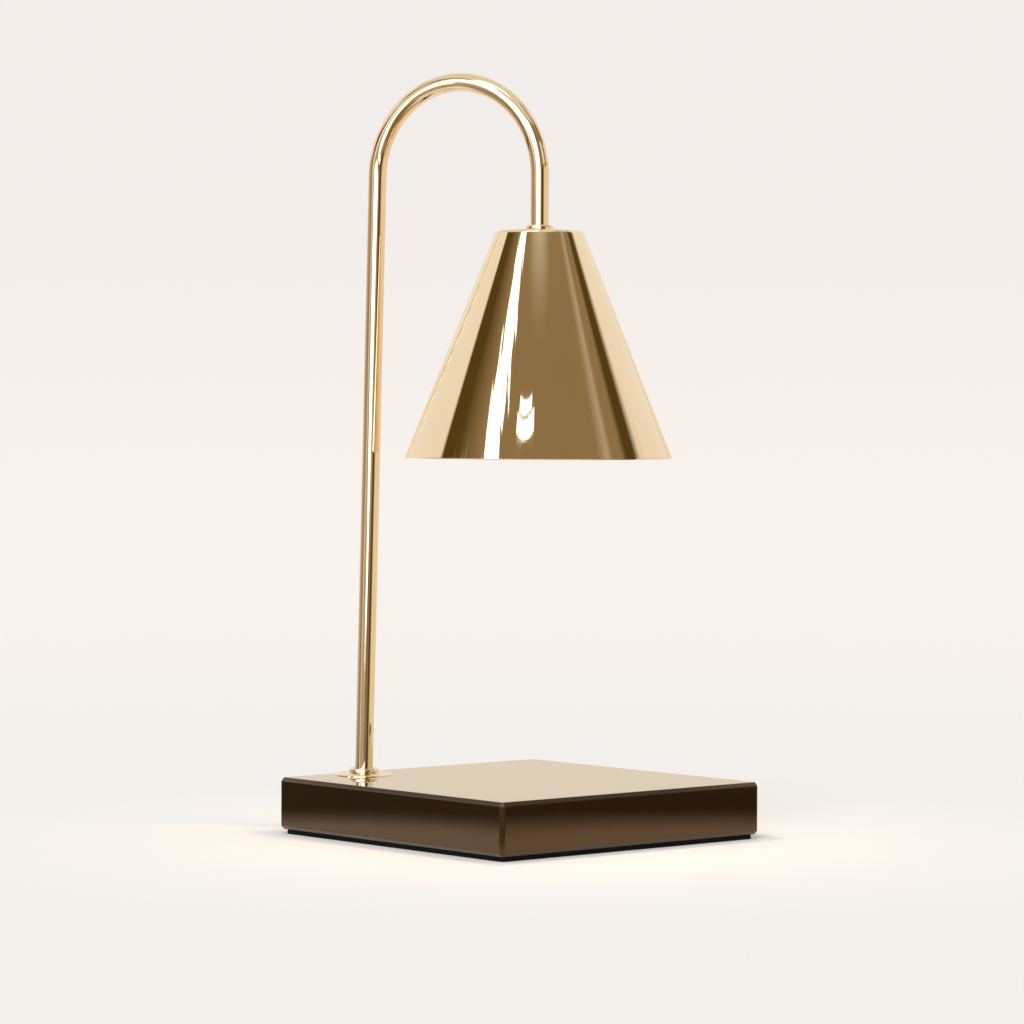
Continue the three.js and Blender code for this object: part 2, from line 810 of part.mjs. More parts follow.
function basePieces() {
  const foot = new THREE.Group();
  foot.position.set(footX, footY, 0);
  const washer = flatWasher(frictionWasherRadius, frictionWasherBottom, frictionWasherThickness);
  foot.add(
    piece('foot_flange', footFlange(), polishedGold()),
    piece('friction_washer', washer, fibre()),
    piece('cable_bush', cableBush(), blackRubber()),
    piece('base_lead', baseLead(), leadSleeve()),
  );
  const base = new THREE.Group();
  base.add(
    piece('base_pad', basePad(), blackRubber()),
    piece('base_block', baseBlock(), smokedGlass()),
    foot,
  );
  return base;
}

function bulbPieces() {
  const frontGlass = rod(reflectorRimRadius, frontGlassBottom, frontGlassTop);
  const bulb = new THREE.Group();
  bulb.add(
    piece('bulb_base', bulbBase(), whiteCeramic()),
    ...pieces('bulb_pin', bulbPins(), zincSteel()),
    piece('bulb_reflector', bulbReflector(), mirrorGlass()),
    piece('bulb_capsule', bulbCapsule(), clearGlass()),
    piece('bulb_front_glass', frontGlass, clearGlass()),
    piece('bulb_ring', bulbRing(), brightAluminium()),
  );
  return bulb;
}

function shadePieces() {
  const head = new THREE.Group();
  head.position.set(reach, 0, 0);
  const fitting = endFitting(topCollarRadius, topCollarBottom, topCollarTop, topSpigotEnd);
  const washer = flatWasher(shadeWasherRadius, shadeWasherBottom, shadeWasherThickness);
  head.add(
    piece('top_fitting', fitting, polishedGold()),
    piece('shade', shade(), polishedGold()),
    piece('shade_washer', washer, zincSteel()),
    piece('shade_nut', hexNut(shadeNutBottom), zincSteel()),
    piece('holder_bracket', holderBracket(), zincSteel()),
    piece('bracket_nut', hexNut(bracketNutBottom), zincSteel()),
    piece('lamp_holder', lampHolder(), whiteCeramic()),
    ...pieces('holder_contact', holderContacts(), contactBrass()),
    ...pieces('holder_screw', holderScrews(), zincSteel()),
    bulbPieces(),
  );
  return head;
}

function armPieces() {
  const arm = new THREE.Group();
  arm.position.set(footX, footY, 0);
  arm.rotation.z = radians(armTurnDegrees);
  const fitting = endFitting(footCollarRadius, footCollarBottom, footCollarTop, footSpigotEnd);
  const washer = flatWasher(footWasherRadius, footWasherBottom, footWasherThickness);
  arm.add(
    piece('foot_fitting', fitting, polishedGold()),
    piece('foot_washer', washer, zincSteel()),
    piece('foot_spring_washer', springWasher(), zincSteel()),
    piece('foot_nut', hexNut(footNutBottom), zincSteel()),
    piece('arm_tube', armTube(), polishedGold()),
    piece('arm_lead', armLead(), leadSleeve()),
    shadePieces(),
  );
  return arm;
}

const lamp = new THREE.Group();
lamp.add(basePieces(), armPieces());

export default lamp;
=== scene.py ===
import json
import math

import bmesh
import bpy
from mathutils import Matrix, Vector

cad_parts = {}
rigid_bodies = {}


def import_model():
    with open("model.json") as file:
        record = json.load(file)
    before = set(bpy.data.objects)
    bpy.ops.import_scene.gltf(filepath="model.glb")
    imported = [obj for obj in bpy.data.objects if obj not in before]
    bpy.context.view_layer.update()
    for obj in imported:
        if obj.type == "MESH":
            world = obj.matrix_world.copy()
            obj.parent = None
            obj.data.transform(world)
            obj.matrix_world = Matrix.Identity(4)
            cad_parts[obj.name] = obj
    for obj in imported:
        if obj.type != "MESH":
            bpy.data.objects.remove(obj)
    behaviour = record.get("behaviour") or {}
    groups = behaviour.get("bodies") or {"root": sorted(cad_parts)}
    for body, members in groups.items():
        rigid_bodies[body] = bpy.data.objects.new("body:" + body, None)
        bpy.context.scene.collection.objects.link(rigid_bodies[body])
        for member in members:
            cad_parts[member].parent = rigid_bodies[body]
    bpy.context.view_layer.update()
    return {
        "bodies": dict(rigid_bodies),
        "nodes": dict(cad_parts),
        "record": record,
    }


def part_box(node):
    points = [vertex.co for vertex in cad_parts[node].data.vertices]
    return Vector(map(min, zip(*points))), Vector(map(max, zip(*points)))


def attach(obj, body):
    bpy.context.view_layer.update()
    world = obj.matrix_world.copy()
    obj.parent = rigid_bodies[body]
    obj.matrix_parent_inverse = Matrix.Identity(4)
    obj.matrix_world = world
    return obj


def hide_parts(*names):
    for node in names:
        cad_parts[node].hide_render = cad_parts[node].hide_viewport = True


# The looks of a candle warmer lamp. A hooked gold tube stands on a smoked-glass block and holds
# a gold cone shade with a lit reflector bulb. Objects are in metres. The sizes below are in
# millimetres, and other values say in their names or comments what they are.

MM = 0.001
FULL_TURN_DEGREES = 360.0

# Camera
CAMERA_PLACE = (1388.0, -1220.83, 196.41)
CAMERA_YAW_DEGREES = 48.773
CAMERA_PITCH_DEGREES = -1.662
CAMERA_ROLL_DEGREES = 0.255
CAMERA_LENS = 147.98
CAMERA_SENSOR = 36.0

# Base
BLOCK_CHAMFER = 1.6
ARRIS_ROUND = 0.22
PAD_CORNER_RADIUS = 2.5
PAD_EDGE_ROUND = 0.35
GROOVE_WIDTH = 8.0
GROOVE_DEPTH = 8.0
POCKET_CLEARANCE = 1.5
FIT_GAP = 0.3
CUT_OVERRUN = 2.0

# Gold fittings
THREAD_RADIUS = 5.0
FLANGE_RADIUS = 12.7
FLANGE_EDGE_THICKNESS = 0.25
FLANGE_EDGE_ROUND = 4.0
FOOT_COLLAR_RADIUS = 6.6
TOP_COLLAR_RADIUS = 5.85
FOOT_COLLAR_HEIGHT = 1.8
TOP_COLLAR_HEIGHT = 2.1
COLLAR_ROUND = 1.0
COLLAR_FOOT_ROUND = 0.3
TUBE_SEAT_DEPTH = 1.2

# Tube
TUBE_RADIUS = 4.0
TUBE_WALL = 1.0
TUBE_END_ROUND = 0.15
BEND_RADIUS = 41.0
STUB_LENGTH = 21.9
POST_LEAN_DEGREES = 1.3

# Shade
SHADE_RIM_RADIUS = 58.0
SHADE_TOP_RADIUS = 18.7
SHADE_WALL = 1.0
SHADE_RIM_ROUND = 0.42
SHOULDER_RADIUS = 2.2

# Bulb
REFLECTOR_NECK_RADIUS = 10.4
REFLECTOR_RIM_RADIUS = 24.6
REFLECTOR_WALL = 1.4
CAPSULE_RADIUS = 4.3
CAPSULE_WALL = 0.7
FRONT_GLASS_ROUND = 0.4
RING_WALL = 0.6
RING_LIP = 1.4
BULB_BASE_RADIUS = 13.4
BULB_BASE_TOP_RADIUS = 12.0
BULB_BASE_SHOULDER = 2.5
BULB_BASE_ROUND = 0.6
PIN_NECK_RADIUS = 1.3
PIN_SEAT_DEPTH = 4.0
FILAMENT_LENGTH = 7.0
FILAMENT_COIL_RADIUS = 0.7
FILAMENT_WIRE_RADIUS = 0.16
FILAMENT_TURNS = 11

# How finely round forms are divided
ROUND_STEPS = 96
SHADE_STEPS = 240
TUBE_STEPS = 48
BEND_STEPS = 96
FACET_STEPS = 36
FACET_RINGS = 9
ARC_STEPS = 6
ARRIS_STEPS = 3
SMOOTH_DEGREES = 32
FACET_SMOOTH_DEGREES = 4
WELD_DISTANCE = 0.002

# Floor and wall
FLOOR_RADIUS = 2600.0
FLOOR_STEPS = 96
FLOOR_COLOUR = (0.93, 0.917, 0.905)
FAR_FLOOR = (450.0, 2200.0)
# What polished faces see of the floor: a pale disc that fades outwards, and a dark patch farther out on its
# right. Each pair says where the change begins and where it ends.
MIRRORED_FLOOR = (130.0, 245.0)
DARK_PATCH_COLOUR = (0.15, 0.105, 0.055)
DARK_PATCH_LEFT = (0.0, 40.0)
DARK_PATCH_RADIUS = (345.0, 375.0)
DARK_PATCH_DEPTH = -70.0
DARK_PATCH_HALF_DEPTH = (80.0, 100.0)
WALL_FOOT_COLOUR = (0.956, 0.893, 0.845)
WALL_COLOUR = (0.888, 0.85, 0.826)
WALL_TURN_DEGREES = (-2.5, 3.0)
EVEN_LIGHT_COLOUR = (1.0, 0.985, 0.965)
EVEN_LIGHT_LEVEL = 0.72

# The studio as polished faces see it, in two rows of plain tones. A tone is (level share, warmth share). The
# number before it is its bearing in degrees, from the camera's side of the lamp towards the camera's right.
# The first row is at the height of the lamp. The second is above it, where the cone of the shade looks.
PALE_WALL = (0.95, 0.1)
CREAM_WALL = (0.9, 0.4)
HALF_LIT = (0.5, 0.4)
DIM_ROOM = (0.3, 0.7)
DARK_FLAG = (0.1, 1.0)
LEVEL_ROW_SHARES = (
    (-180, *CREAM_WALL),
    (-145, *PALE_WALL),
    (-115, *HALF_LIT),
    (-100, *HALF_LIT),
    (-85, *DIM_ROOM),
    (-65, *HALF_LIT),
    (10, *HALF_LIT),
    (30, *DARK_FLAG),
    (45, *DARK_FLAG),
    (60, *CREAM_WALL),
    (180, *CREAM_WALL),
)
HIGH_ROW_SHARES = (
    (-180, *PALE_WALL),
    (-103, *PALE_WALL),
    (-100, *DARK_FLAG),
    (-85, *DARK_FLAG),
    (-60, *DIM_ROOM),
    (60, *DIM_ROOM),
    (70, *HALF_LIT),
    (75, *DIM_ROOM),
    (85, *DIM_ROOM),
    (90, *DARK_FLAG),
    (100, *DARK_FLAG),
    (108, *PALE_WALL),
    (180, *PALE_WALL),
)
HIGH_FROM_DEGREES = (7.0, 11.0)
OVERHEAD_FROM_DEGREES = (44.0, 47.4)
OVERHEAD_COLOUR = (0.83, 0.805, 0.69)
DARKEST_GREEN_SHARE = 0.38
DARKEST_BLUE_SHARE = 0.85

# The pale floor past the disc, as polished faces see it well below them
BELOW_FROM_DEGREES = (-35.0, -50.0)
BELOW_COLOUR = (0.96, 0.92, 0.86)

# Panels round the lamp: (left, right, bottom, top, softness of the edge) in degrees, then the level share and
# the warmth share. The softboxes are bright, so that gold mirrors them white. The rest are plain cards.
SOFTBOX = (2.2, -0.2)
PANELS = (
    (-75, 80, -52, -24, 8, 0.45, 0.45),
    (-30, 50, -62, -26, 6, 0.26, 0.9),
    (44, 74, 11, 30, 1.5, 0.9, 0.35),
    (92, 112, 11, 25, 1.2, 0.87, 0.3),
    (-122, -64, 41, 50, 1.5, 0.8, 0.1),
    (-137, -125, 38, 44, 1, 0.45, 0.1),
    (116, 130, 45.5, 51.5, 1, 0.35, 0.2),
    (52, 94, 44, 66, 1.5, 0.5, 0.4),
    (-104, -86, 35.5, 42, 0.8, 0.82, 0.15),
    (-102, -72, 15, 27, 1, 0.85, 0.15),
    (-86, -72, 26, 31, 1, 0.83, 0.15),
    (-74, -56, 17, 34, 1, 0.82, 0.1),
    (-132, -64, -8.4, -4.8, 0.4, 0.15, 0.77),
    (-40, 8, 0.8, 39.5, 0.9, *SOFTBOX),
    (-37, 4, -0.7, 2, 0.9, *SOFTBOX),
    (-32, -1, -2.2, 1, 0.9, *SOFTBOX),
    (-25, -6, -4.5, -1, 0.7, *SOFTBOX),
    (-46, -4, -7, -4.6, 0.5, 0.46, 0.35),
    (-5, 18, -7, -3.6, 0.5, 0.25, 0.7),
    (-58, 16, -12, -7.3, 0.5, *SOFTBOX),
    (-42, -8, -25, -11, 1.2, *SOFTBOX),
    (-60, -40, -17, -7.3, 0.8, *SOFTBOX),
    (-64, -55, -7.3, 3.4, 0.8, 0.8, 0),
    (-64, -55, 3.2, 30, 0.8, *SOFTBOX),
    (-58, -38, 9, 36, 1.2, *SOFTBOX),
    (-57, -40, 33, 66, 0.8, *SOFTBOX),
    (-48, -4, 60, 74, 1.5, *SOFTBOX),
)
# A small window high up, in two panes. Its heights are measured along a line that rises with the bearing.
WINDOW_PANES = (
    (-24.5, -5.5, 43.2, 43.5, 0.02),
    (-22.5, -8, 43.55, 43.78, 0.03),
)
WINDOW_SLOPE = 0.047
# High up, the panels' upright edges wander from side to side, as hand-made polish shows them.
PANEL_WANDER_DEGREES = 18.0
PANEL_WANDERS_PER_DEGREE = 1.6
WANDER_FROM_DEGREES = (26.0, 34.0)
NOISE_MIDDLE_SHARE = 0.5

# Lights
SUN_PLACE = (900.0, -1500.0, 2400.0)
SUN_POWER = 1.0
SUN_SPREAD_DEGREES = 28.0
LAMP_MIDDLE = (0.0, 0.0, 130.0)
GLOW_DROP = 3.0
GLOW_SIZE = 40.0
GLOW_POWER = 0.08
GLOW_SPREAD_DEGREES = 120.0
GLOW_COLOUR = (1.0, 0.74, 0.44)


def mm(*values):
    scaled = tuple(value * MM for value in values)
    return scaled[0] if len(scaled) == 1 else scaled


def centre_of(node):
    low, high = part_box(node)
    return (low + high) / 2


def heights(low, high):
    """The heights of a box's lowest and highest corners, in millimetres."""
    return low.z / MM, high.z / MM


# Mesh building


def new_mesh(name, vertices, faces, smooth_degrees=SMOOTH_DEGREES):
    mesh = bpy.data.meshes.new(name)
    mesh.from_pydata(vertices, [], faces)
    mesh.validate()
    tidy(mesh, smooth_degrees)
    return mesh


def tidy(mesh, smooth_degrees=SMOOTH_DEGREES):
    bm = bmesh.new()
    bm.from_mesh(mesh)
    bmesh.ops.recalc_face_normals(bm, faces=bm.faces)
    bm.to_mesh(mesh)
    bm.free()
    mesh.shade_smooth()
    mesh.set_sharp_from_angle(angle=math.radians(smooth_degrees))
    return mesh


def arc(centre_radius, centre_height, radius, from_degrees, to_degrees, steps=ARC_STEPS):
    points = []
    for i in range(steps + 1):
        angle = math.radians(from_degrees + (to_degrees - from_degrees) * i / steps)
        points.append((centre_radius + radius * math.cos(angle), centre_height + radius * math.sin(angle)))
    return points


def revolved(name, profile, axis, steps=ROUND_STEPS, smooth_degrees=SMOOTH_DEGREES):
    """A closed profile of (radius, height), in millimetres, turned about an upright axis. A point of radius 0
    is a pole, and two such points are the ends of a solid's axis."""
    vertices = []
    rings = []
    for radius, height in profile:
        count = 1 if radius == 0 else steps
        rings.append(range(len(vertices), len(vertices) + count))
        for k in range(count):
            angle = 2 * math.pi * k / steps
            x, y, z = mm(radius * math.cos(angle), radius * math.sin(angle), height)
            vertices.append((axis.x + x, axis.y + y, z))
    faces = []
    for i, ring in enumerate(rings):
        after = rings[(i + 1) % len(rings)]
        if len(ring) == 1 and len(after) == 1:
            continue
        for k in range(steps):
            corners = [
                ring[k % len(ring)],
                ring[(k + 1) % len(ring)],
                after[(k + 1) % len(after)],
                after[k % len(after)],
            ]
            faces.append(list(dict.fromkeys(corners)))
    return new_mesh(name, vertices, faces, smooth_degrees)


def skinned(name, loops, closed=False):
    """Quads between loops of equal length, with an n-gon on each end unless the row of loops is closed."""
    count = len(loops[0])
    vertices = [point for loop in loops for point in loop]
    faces = []
    pairs = len(loops) if closed else len(loops) - 1
    for i in range(pairs):
        first = i * count
        second = ((i + 1) % len(loops)) * count
        for k in range(count):
            after = (k + 1) % count
            faces.append([first + k, first + after, second + after, second + k])
    if not closed:
        faces.append(list(range(count)))
        faces.append(list(range(len(vertices) - count, len(vertices))))
    return new_mesh(name, vertices, faces)


def rounded_square(side, corner_radius, height):
    half = side / 2 - corner_radius
    corners = [(half, half, 0), (-half, half, 90), (-half, -half, 180), (half, -half, 270)]
    points = []
    for x, y, start in corners:
        for across, up in arc(x, y, corner_radius, start, start + 90):
            points.append(mm(across, up, height))
    return points


def carved(piece, *cutters):
    """Cuts the cutters' meshes out of a piece's mesh, and leaves no modifier."""
    for cutter in cutters:
        modifier = piece.modifiers.new("cut", "BOOLEAN")
        modifier.operation = "DIFFERENCE"
        modifier.solver = "EXACT"
        modifier.object = cutter
    evaluated = piece.evaluated_get(bpy.context.evaluated_depsgraph_get())
    mesh = bpy.data.meshes.new_from_object(evaluated)
    piece.modifiers.clear()
    piece.data = tidy(mesh)
    for cutter in cutters:
        bpy.data.objects.remove(cutter)


def loose(name, mesh):
    piece = bpy.data.objects.new(name, mesh)
    bpy.context.scene.collection.objects.link(piece)
    return piece


def fitted(name, mesh, material, body, slot, *nodes):
    """A piece that rides on a body, and stands for CAD nodes where any are named."""
    piece = loose(name, mesh)
    return dressed(piece, material, body, slot, *nodes)


def dressed(piece, material, body, slot, *nodes):
    """Weighted normals keep large faces true beside their narrow edge rounds."""
    piece.data.materials.clear()
    piece.data.materials.append(material)
    weighted = piece.modifiers.new("weighted_normals", "WEIGHTED_NORMAL")
    weighted.keep_sharp = True
    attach(piece, body)
    if nodes:
        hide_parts(*nodes)
    return piece


# Node building


class Shader:
    """A material or world node tree, with short calls for the nodes that the looks below are made of."""

    def __init__(self, tree):
        self.tree = tree
        self.nodes = tree.nodes
        self.coordinates = self.nodes.new("ShaderNodeTexCoord")

    def link(self, source, target):
        self.tree.links.new(source, target)

    def put(self, value, socket):
        """Sets a socket to another node's output, a colour of three parts or a number."""
        if isinstance(value, bpy.types.NodeSocket):
            self.link(value, socket)
        elif isinstance(value, tuple):
            socket.default_value = (*value, 1.0)
        else:
            socket.default_value = value

    def math(self, operation, *values):
        node = self.nodes.new("ShaderNodeMath")
        node.operation = operation
        for value, socket in zip(values, node.inputs):
            self.put(value, socket)
        return node.outputs[0]

    def step(self, value, start, end):
        """0 before the start, 1 past the end and smooth between. The start may be the larger one."""
        node = self.nodes.new("ShaderNodeMapRange")
        node.interpolation_type = "SMOOTHSTEP"
        self.put(value, node.inputs["Value"])
        self.put(start, node.inputs["From Min"])
        self.put(end, node.inputs["From Max"])
        return node.outputs["Result"]

    def within(self, value, low, high, softness):
        """1 between two limits and 0 outside them."""
        above = self.step(value, low - softness, low + softness)
        below = self.step(value, high + softness, high - softness)
        return self.math("MULTIPLY", above, below)

    def ramp(self, value, stops):
        node = self.nodes.new("ShaderNodeValToRGB")
        self.put(value, node.inputs["Fac"])
        elements = node.color_ramp.elements
        while len(elements) < len(stops):
            elements.new(1.0)
        for element, (place, colour) in zip(elements, stops):
            element.position = place
            element.color = (*colour, 1.0)
        return node.outputs["Color"]

    def tones(self, pattern, darker, paler, start, end):
        """A surface colour that follows a pattern, from the darker tone to the paler one."""
        return self.ramp(pattern, [(start, darker), (end, paler)])

    def mix(self, share, first, second):
        """A colour between two colours."""
        return self.blend(share, first, second, data_type="RGBA")

    def blend(self, share, first, second, data_type="FLOAT"):
        """A number between two numbers."""
        node = self.nodes.new("ShaderNodeMix")
        node.data_type = data_type
        self.put(share, node.inputs["Factor"])
        self.put(first, node.inputs["A"])
        self.put(second, node.inputs["B"])
        return node.outputs["Result"]

    def scaled(self, factors):
        """The object's coordinates, each times its own factor."""
        node = self.nodes.new("ShaderNodeVectorMath")
        node.operation = "MULTIPLY"
        self.link(self.coordinates.outputs["Object"], node.inputs[0])
        node.inputs[1].default_value = factors
        return node.outputs["Vector"]

    def noise(self, scale, detail=2.0, vector=None, roughness=0.5):
        node = self.nodes.new("ShaderNodeTexNoise")
        self.link(vector or self.coordinates.outputs["Object"], node.inputs["Vector"])
        node.inputs["Scale"].default_value = scale
        node.inputs["Detail"].default_value = detail
        node.inputs["Roughness"].default_value = roughness
        return node.outputs["Fac"]

    def voronoi(self, scale):
        node = self.nodes.new("ShaderNodeTexVoronoi")
        self.link(self.coordinates.outputs["Object"], node.inputs["Vector"])
        node.inputs["Scale"].default_value = scale
        return node.outputs["Distance"]

    def turned(self, output, degrees):
        """The three parts of a coordinate, turned about the upright axis."""
        rotate = self.nodes.new("ShaderNodeVectorRotate")
        rotate.rotation_type = "Z_AXIS"
        rotate.inputs["Angle"].default_value = math.radians(degrees)
        self.link(self.coordinates.outputs[output], rotate.inputs["Vector"])
        parts = self.nodes.new("ShaderNodeSeparateXYZ")
        self.link(rotate.outputs["Vector"], parts.inputs["Vector"])
        return parts.outputs["X"], parts.outputs["Y"], parts.outputs["Z"]

    def bump(self, height, depth, normal=None):
        node = self.nodes.new("ShaderNodeBump")
        self.link(height, node.inputs["Height"])
        node.inputs["Distance"].default_value = mm(depth)
        if normal is not None:
            self.link(normal, node.inputs["Normal"])
        return node.outputs["Normal"]

    def ray(self, kind):
        return self.nodes.new("ShaderNodeLightPath").outputs[f"Is {kind} Ray"]

    def background(self, colour, strength=1.0):
        node = self.nodes.new("ShaderNodeBackground")
        self.put(colour, node.inputs["Color"])
        node.inputs["Strength"].default_value = strength
        return node.outputs[0]

    def clear(self):
        return self.nodes.new("ShaderNodeBsdfTransparent").outputs[0]

    def mixed(self, share, first, second):
        node = self.nodes.new("ShaderNodeMixShader")
        self.link(share, node.inputs["Fac"])
        self.link(first, node.inputs[1])
        self.link(second, node.inputs[2])
        return node.outputs[0]

    def principled(self, **values):
        """Sets the Principled shader's sockets by their names, and returns its output."""
        node = self.nodes["Principled BSDF"]
        for key, value in values.items():
            self.put(value, node.inputs[key.replace("_", " ")])
        return node.outputs[0]

    def show(self, result):
        self.link(result, self.nodes["Material Output"].inputs["Surface"])


def surface(name, **settings):
    """A material with one Principled shader, and what is the same all over it, by socket name."""
    material = bpy.data.materials.new(name)
    material.use_nodes = True
    shader = Shader(material.node_tree)
    shader.principled(**settings)
    return material, shader


# Materials


def polished_gold(name, wave_depth, grain_depth, smoothest, dullest):
    """Pale gold plating: slow waves in the polish, faint wiping marks and a soft change of tone."""
    material, shader = surface(name, Metallic=1.0)
    tone = shader.noise(scale=22.0, detail=3.0)
    wiped = shader.noise(scale=160.0, detail=5.0, vector=shader.scaled((1.0, 1.0, 0.25)), roughness=0.65)
    waves = shader.noise(scale=36.0, detail=1.0)
    grain = shader.noise(scale=900.0, detail=2.0)
    shader.principled(
        Base_Color=shader.tones(
            tone, darker=(0.86, 0.69, 0.465), paler=(0.91, 0.74, 0.51), start=0.3, end=0.7
        ),
        Roughness=shader.blend(shader.step(wiped, start=0.35, end=0.8), smoothest, dullest),
        Normal=shader.bump(grain, grain_depth, normal=shader.bump(waves, wave_depth)),
    )
    return material


def smoked_glass():
    """Dark brown glass, polished: it mirrors at a glance and goes brown where it is seen straight on."""
    material, shader = surface(
        "smoked_glass",
        Specular_IOR_Level=0.9,
        Specular_Tint=(1.0, 0.46, 0.08),
        IOR=1.52,
        Coat_Weight=1.0,
        Coat_IOR=1.25,
        Coat_Roughness=0.03,
    )
    cloud = shader.noise(scale=14.0, detail=3.0)
    smear = shader.noise(scale=55.0, detail=6.0, roughness=0.7)
    swell = shader.noise(scale=9.0, detail=1.0)
    shader.principled(
        Base_Color=shader.tones(
            cloud, darker=(0.005, 0.0035, 0.0025), paler=(0.010, 0.006, 0.004), start=0.3, end=0.75
        ),
        Roughness=shader.blend(shader.step(smear, start=0.4, end=0.75), 0.03, 0.09),
        Normal=shader.bump(swell, depth=0.05),
    )
    return material


def foam_rubber():
    """Black foam: fine open cells, dull all over."""
    material, shader = surface("pad_rubber", Specular_IOR_Level=0.15)
    cells = shader.voronoi(scale=1400.0)
    shader.principled(
        Base_Color=shader.tones(
            cells, darker=(0.003, 0.0025, 0.0025), paler=(0.007, 0.006, 0.006), start=0.1, end=0.8
        ),
        Roughness=shader.blend(shader.noise(scale=300.0), 0.75, 0.95),
        Normal=shader.bump(cells, depth=0.12),
    )
    return material


def satin_rubber():
    """Moulded black rubber with a little dust on it."""
    material, shader = surface("bush_rubber", Specular_IOR_Level=0.4)
    dust = shader.noise(scale=500.0, detail=4.0)
    shader.principled(
        Base_Color=shader.tones(
            dust, darker=(0.03, 0.028, 0.026), paler=(0.06, 0.056, 0.052), start=0.35, end=0.75
        ),
        Roughness=shader.blend(dust, 0.45, 0.65),
        Normal=shader.bump(dust, depth=0.02),
    )
    return material


def red_fibre():
    """Pressed fibre board, with strands that run one way."""
    material, shader = surface("red_fibre", Specular_IOR_Level=0.3)
    strands = shader.noise(scale=700.0, detail=5.0, vector=shader.scaled((1.0, 0.15, 1.0)))
    shader.principled(
        Base_Color=shader.tones(
            strands, darker=(0.30, 0.06, 0.035), paler=(0.50, 0.13, 0.08), start=0.3, end=0.7
        ),
        Roughness=shader.blend(strands, 0.65, 0.85),
        Normal=shader.bump(strands, depth=0.03),
    )
    return material


def lead_sleeve():
    """White heat-proof braid over the wires, with a fine grain less than a tenth of a millimetre deep."""
    material, shader = surface("lead_sleeve", Specular_IOR_Level=0.35)
    weave = shader.noise(scale=1.0, detail=0.0, vector=shader.scaled((2600.0, 2600.0, 1500.0)))
    shader.principled(
        Base_Color=shader.tones(
            weave, darker=(0.66, 0.63, 0.56), paler=(0.84, 0.82, 0.76), start=0.35, end=0.65
        ),
        Roughness=shader.blend(weave, 0.7, 0.5),
        Normal=shader.bump(weave, depth=0.08),
    )
    return material


def zinc_steel():
    """Zinc-plated steel: cloudy patches and fine turning marks."""
    material, shader = surface("zinc_steel", Metallic=1.0)
    cloud = shader.noise(scale=320.0, detail=4.0)
    marks = shader.noise(scale=1.0, detail=2.0, vector=shader.scaled((300.0, 300.0, 5000.0)))
    shader.principled(
        Base_Color=shader.tones(
            cloud, darker=(0.55, 0.56, 0.57), paler=(0.70, 0.71, 0.72), start=0.3, end=0.75
        ),
        Roughness=shader.blend(cloud, 0.22, 0.42),
        Normal=shader.bump(marks, depth=0.01),
    )
    return material


def white_ceramic():
    """Unglazed steatite: a fine grain and faint grey specks."""
    material, shader = surface("white_ceramic", Specular_IOR_Level=0.45)
    grain = shader.noise(scale=850.0, detail=5.0, roughness=0.7)
    shader.principled(
        Base_Color=shader.tones(
            grain, darker=(0.74, 0.70, 0.63), paler=(0.86, 0.83, 0.77), start=0.3, end=0.6
        ),
        Roughness=shader.blend(grain, 0.38, 0.6),
        Normal=shader.bump(grain, depth=0.02),
    )
    return material


def contact_brass():
    """Bare brass strip, slightly stained."""
    material, shader = surface("contact_brass", Metallic=1.0)
    stain = shader.noise(scale=600.0, detail=4.0)
    shader.principled(
        Base_Color=shader.tones(
            stain, darker=(0.70, 0.52, 0.24), paler=(0.82, 0.66, 0.36), start=0.3, end=0.75
        ),
        Roughness=shader.blend(stain, 0.2, 0.35),
        Normal=shader.bump(stain, depth=0.01),
    )
    return material


def reflector_mirror():
    """Aluminium film on glass, with a faint haze."""
    material, shader = surface("reflector_mirror", Metallic=1.0)
    haze = shader.noise(scale=260.0, detail=3.0)
    shader.principled(
        Base_Color=shader.tones(
            haze, darker=(0.84, 0.84, 0.85), paler=(0.93, 0.92, 0.91), start=0.3, end=0.75
        ),
        Roughness=shader.blend(haze, 0.06, 0.14),
        Normal=shader.bump(haze, depth=0.01),
    )
    return material


def capsule_glass():
    """Clear quartz. Its glow is painted on as emission and stands in for the filament's light inside it."""
    material, shader = surface(
        "capsule_glass",
        Base_Color=(1.0, 0.93, 0.80),
        Transmission_Weight=0.85,
        IOR=1.46,
        Emission_Color=(1.0, 0.80, 0.50),
    )
    seam_and_glow = shader.noise(scale=420.0, detail=3.0)
    shader.principled(
        Roughness=shader.blend(seam_and_glow, 0.03, 0.1),
        # Painted glow: the emission's strength follows the seam noise, so the glass glows unevenly.
        Emission_Strength=shader.blend(seam_and_glow, 1.6, 2.6),
        Normal=shader.bump(seam_and_glow, depth=0.02),
    )
    return material


def filament_glow():
    """White-hot wire, slightly uneven along its length."""
    material, shader = surface("filament_glow", Base_Color=(0.9, 0.6, 0.3), Emission_Color=(1.0, 0.72, 0.38))
    shader.principled(Emission_Strength=shader.blend(shader.noise(scale=900.0, detail=2.0), 6.0, 9.0))
    return material


def lens_glass():
    """Thin clear cover glass with a little dust on it. It lets the lamp's own light pass."""
    material, shader = surface("lens_glass", Base_Color=(1.0, 0.97, 0.90), Transmission_Weight=1.0, IOR=1.47)
    dust = shader.noise(scale=240.0, detail=5.0)
    glass = shader.principled(
        Roughness=shader.blend(shader.step(dust, start=0.45, end=0.8), 0.02, 0.14),
        Normal=shader.bump(dust, depth=0.02),
    )
    shader.show(shader.mixed(shader.ray("Shadow"), glass, shader.clear()))
    return material


def ring_aluminium():
    """Turned aluminium, with fine marks round it."""
    material, shader = surface("ring_aluminium", Metallic=1.0)
    marks = shader.noise(scale=1.0, detail=3.0, vector=shader.scaled((200.0, 200.0, 6000.0)))
    shader.principled(
        Base_Color=shader.tones(
            marks, darker=(0.70, 0.71, 0.72), paler=(0.82, 0.83, 0.84), start=0.3, end=0.75
        ),
        Roughness=shader.blend(marks, 0.16, 0.3),
        Normal=shader.bump(marks, depth=0.01),
    )
    return material


# Base


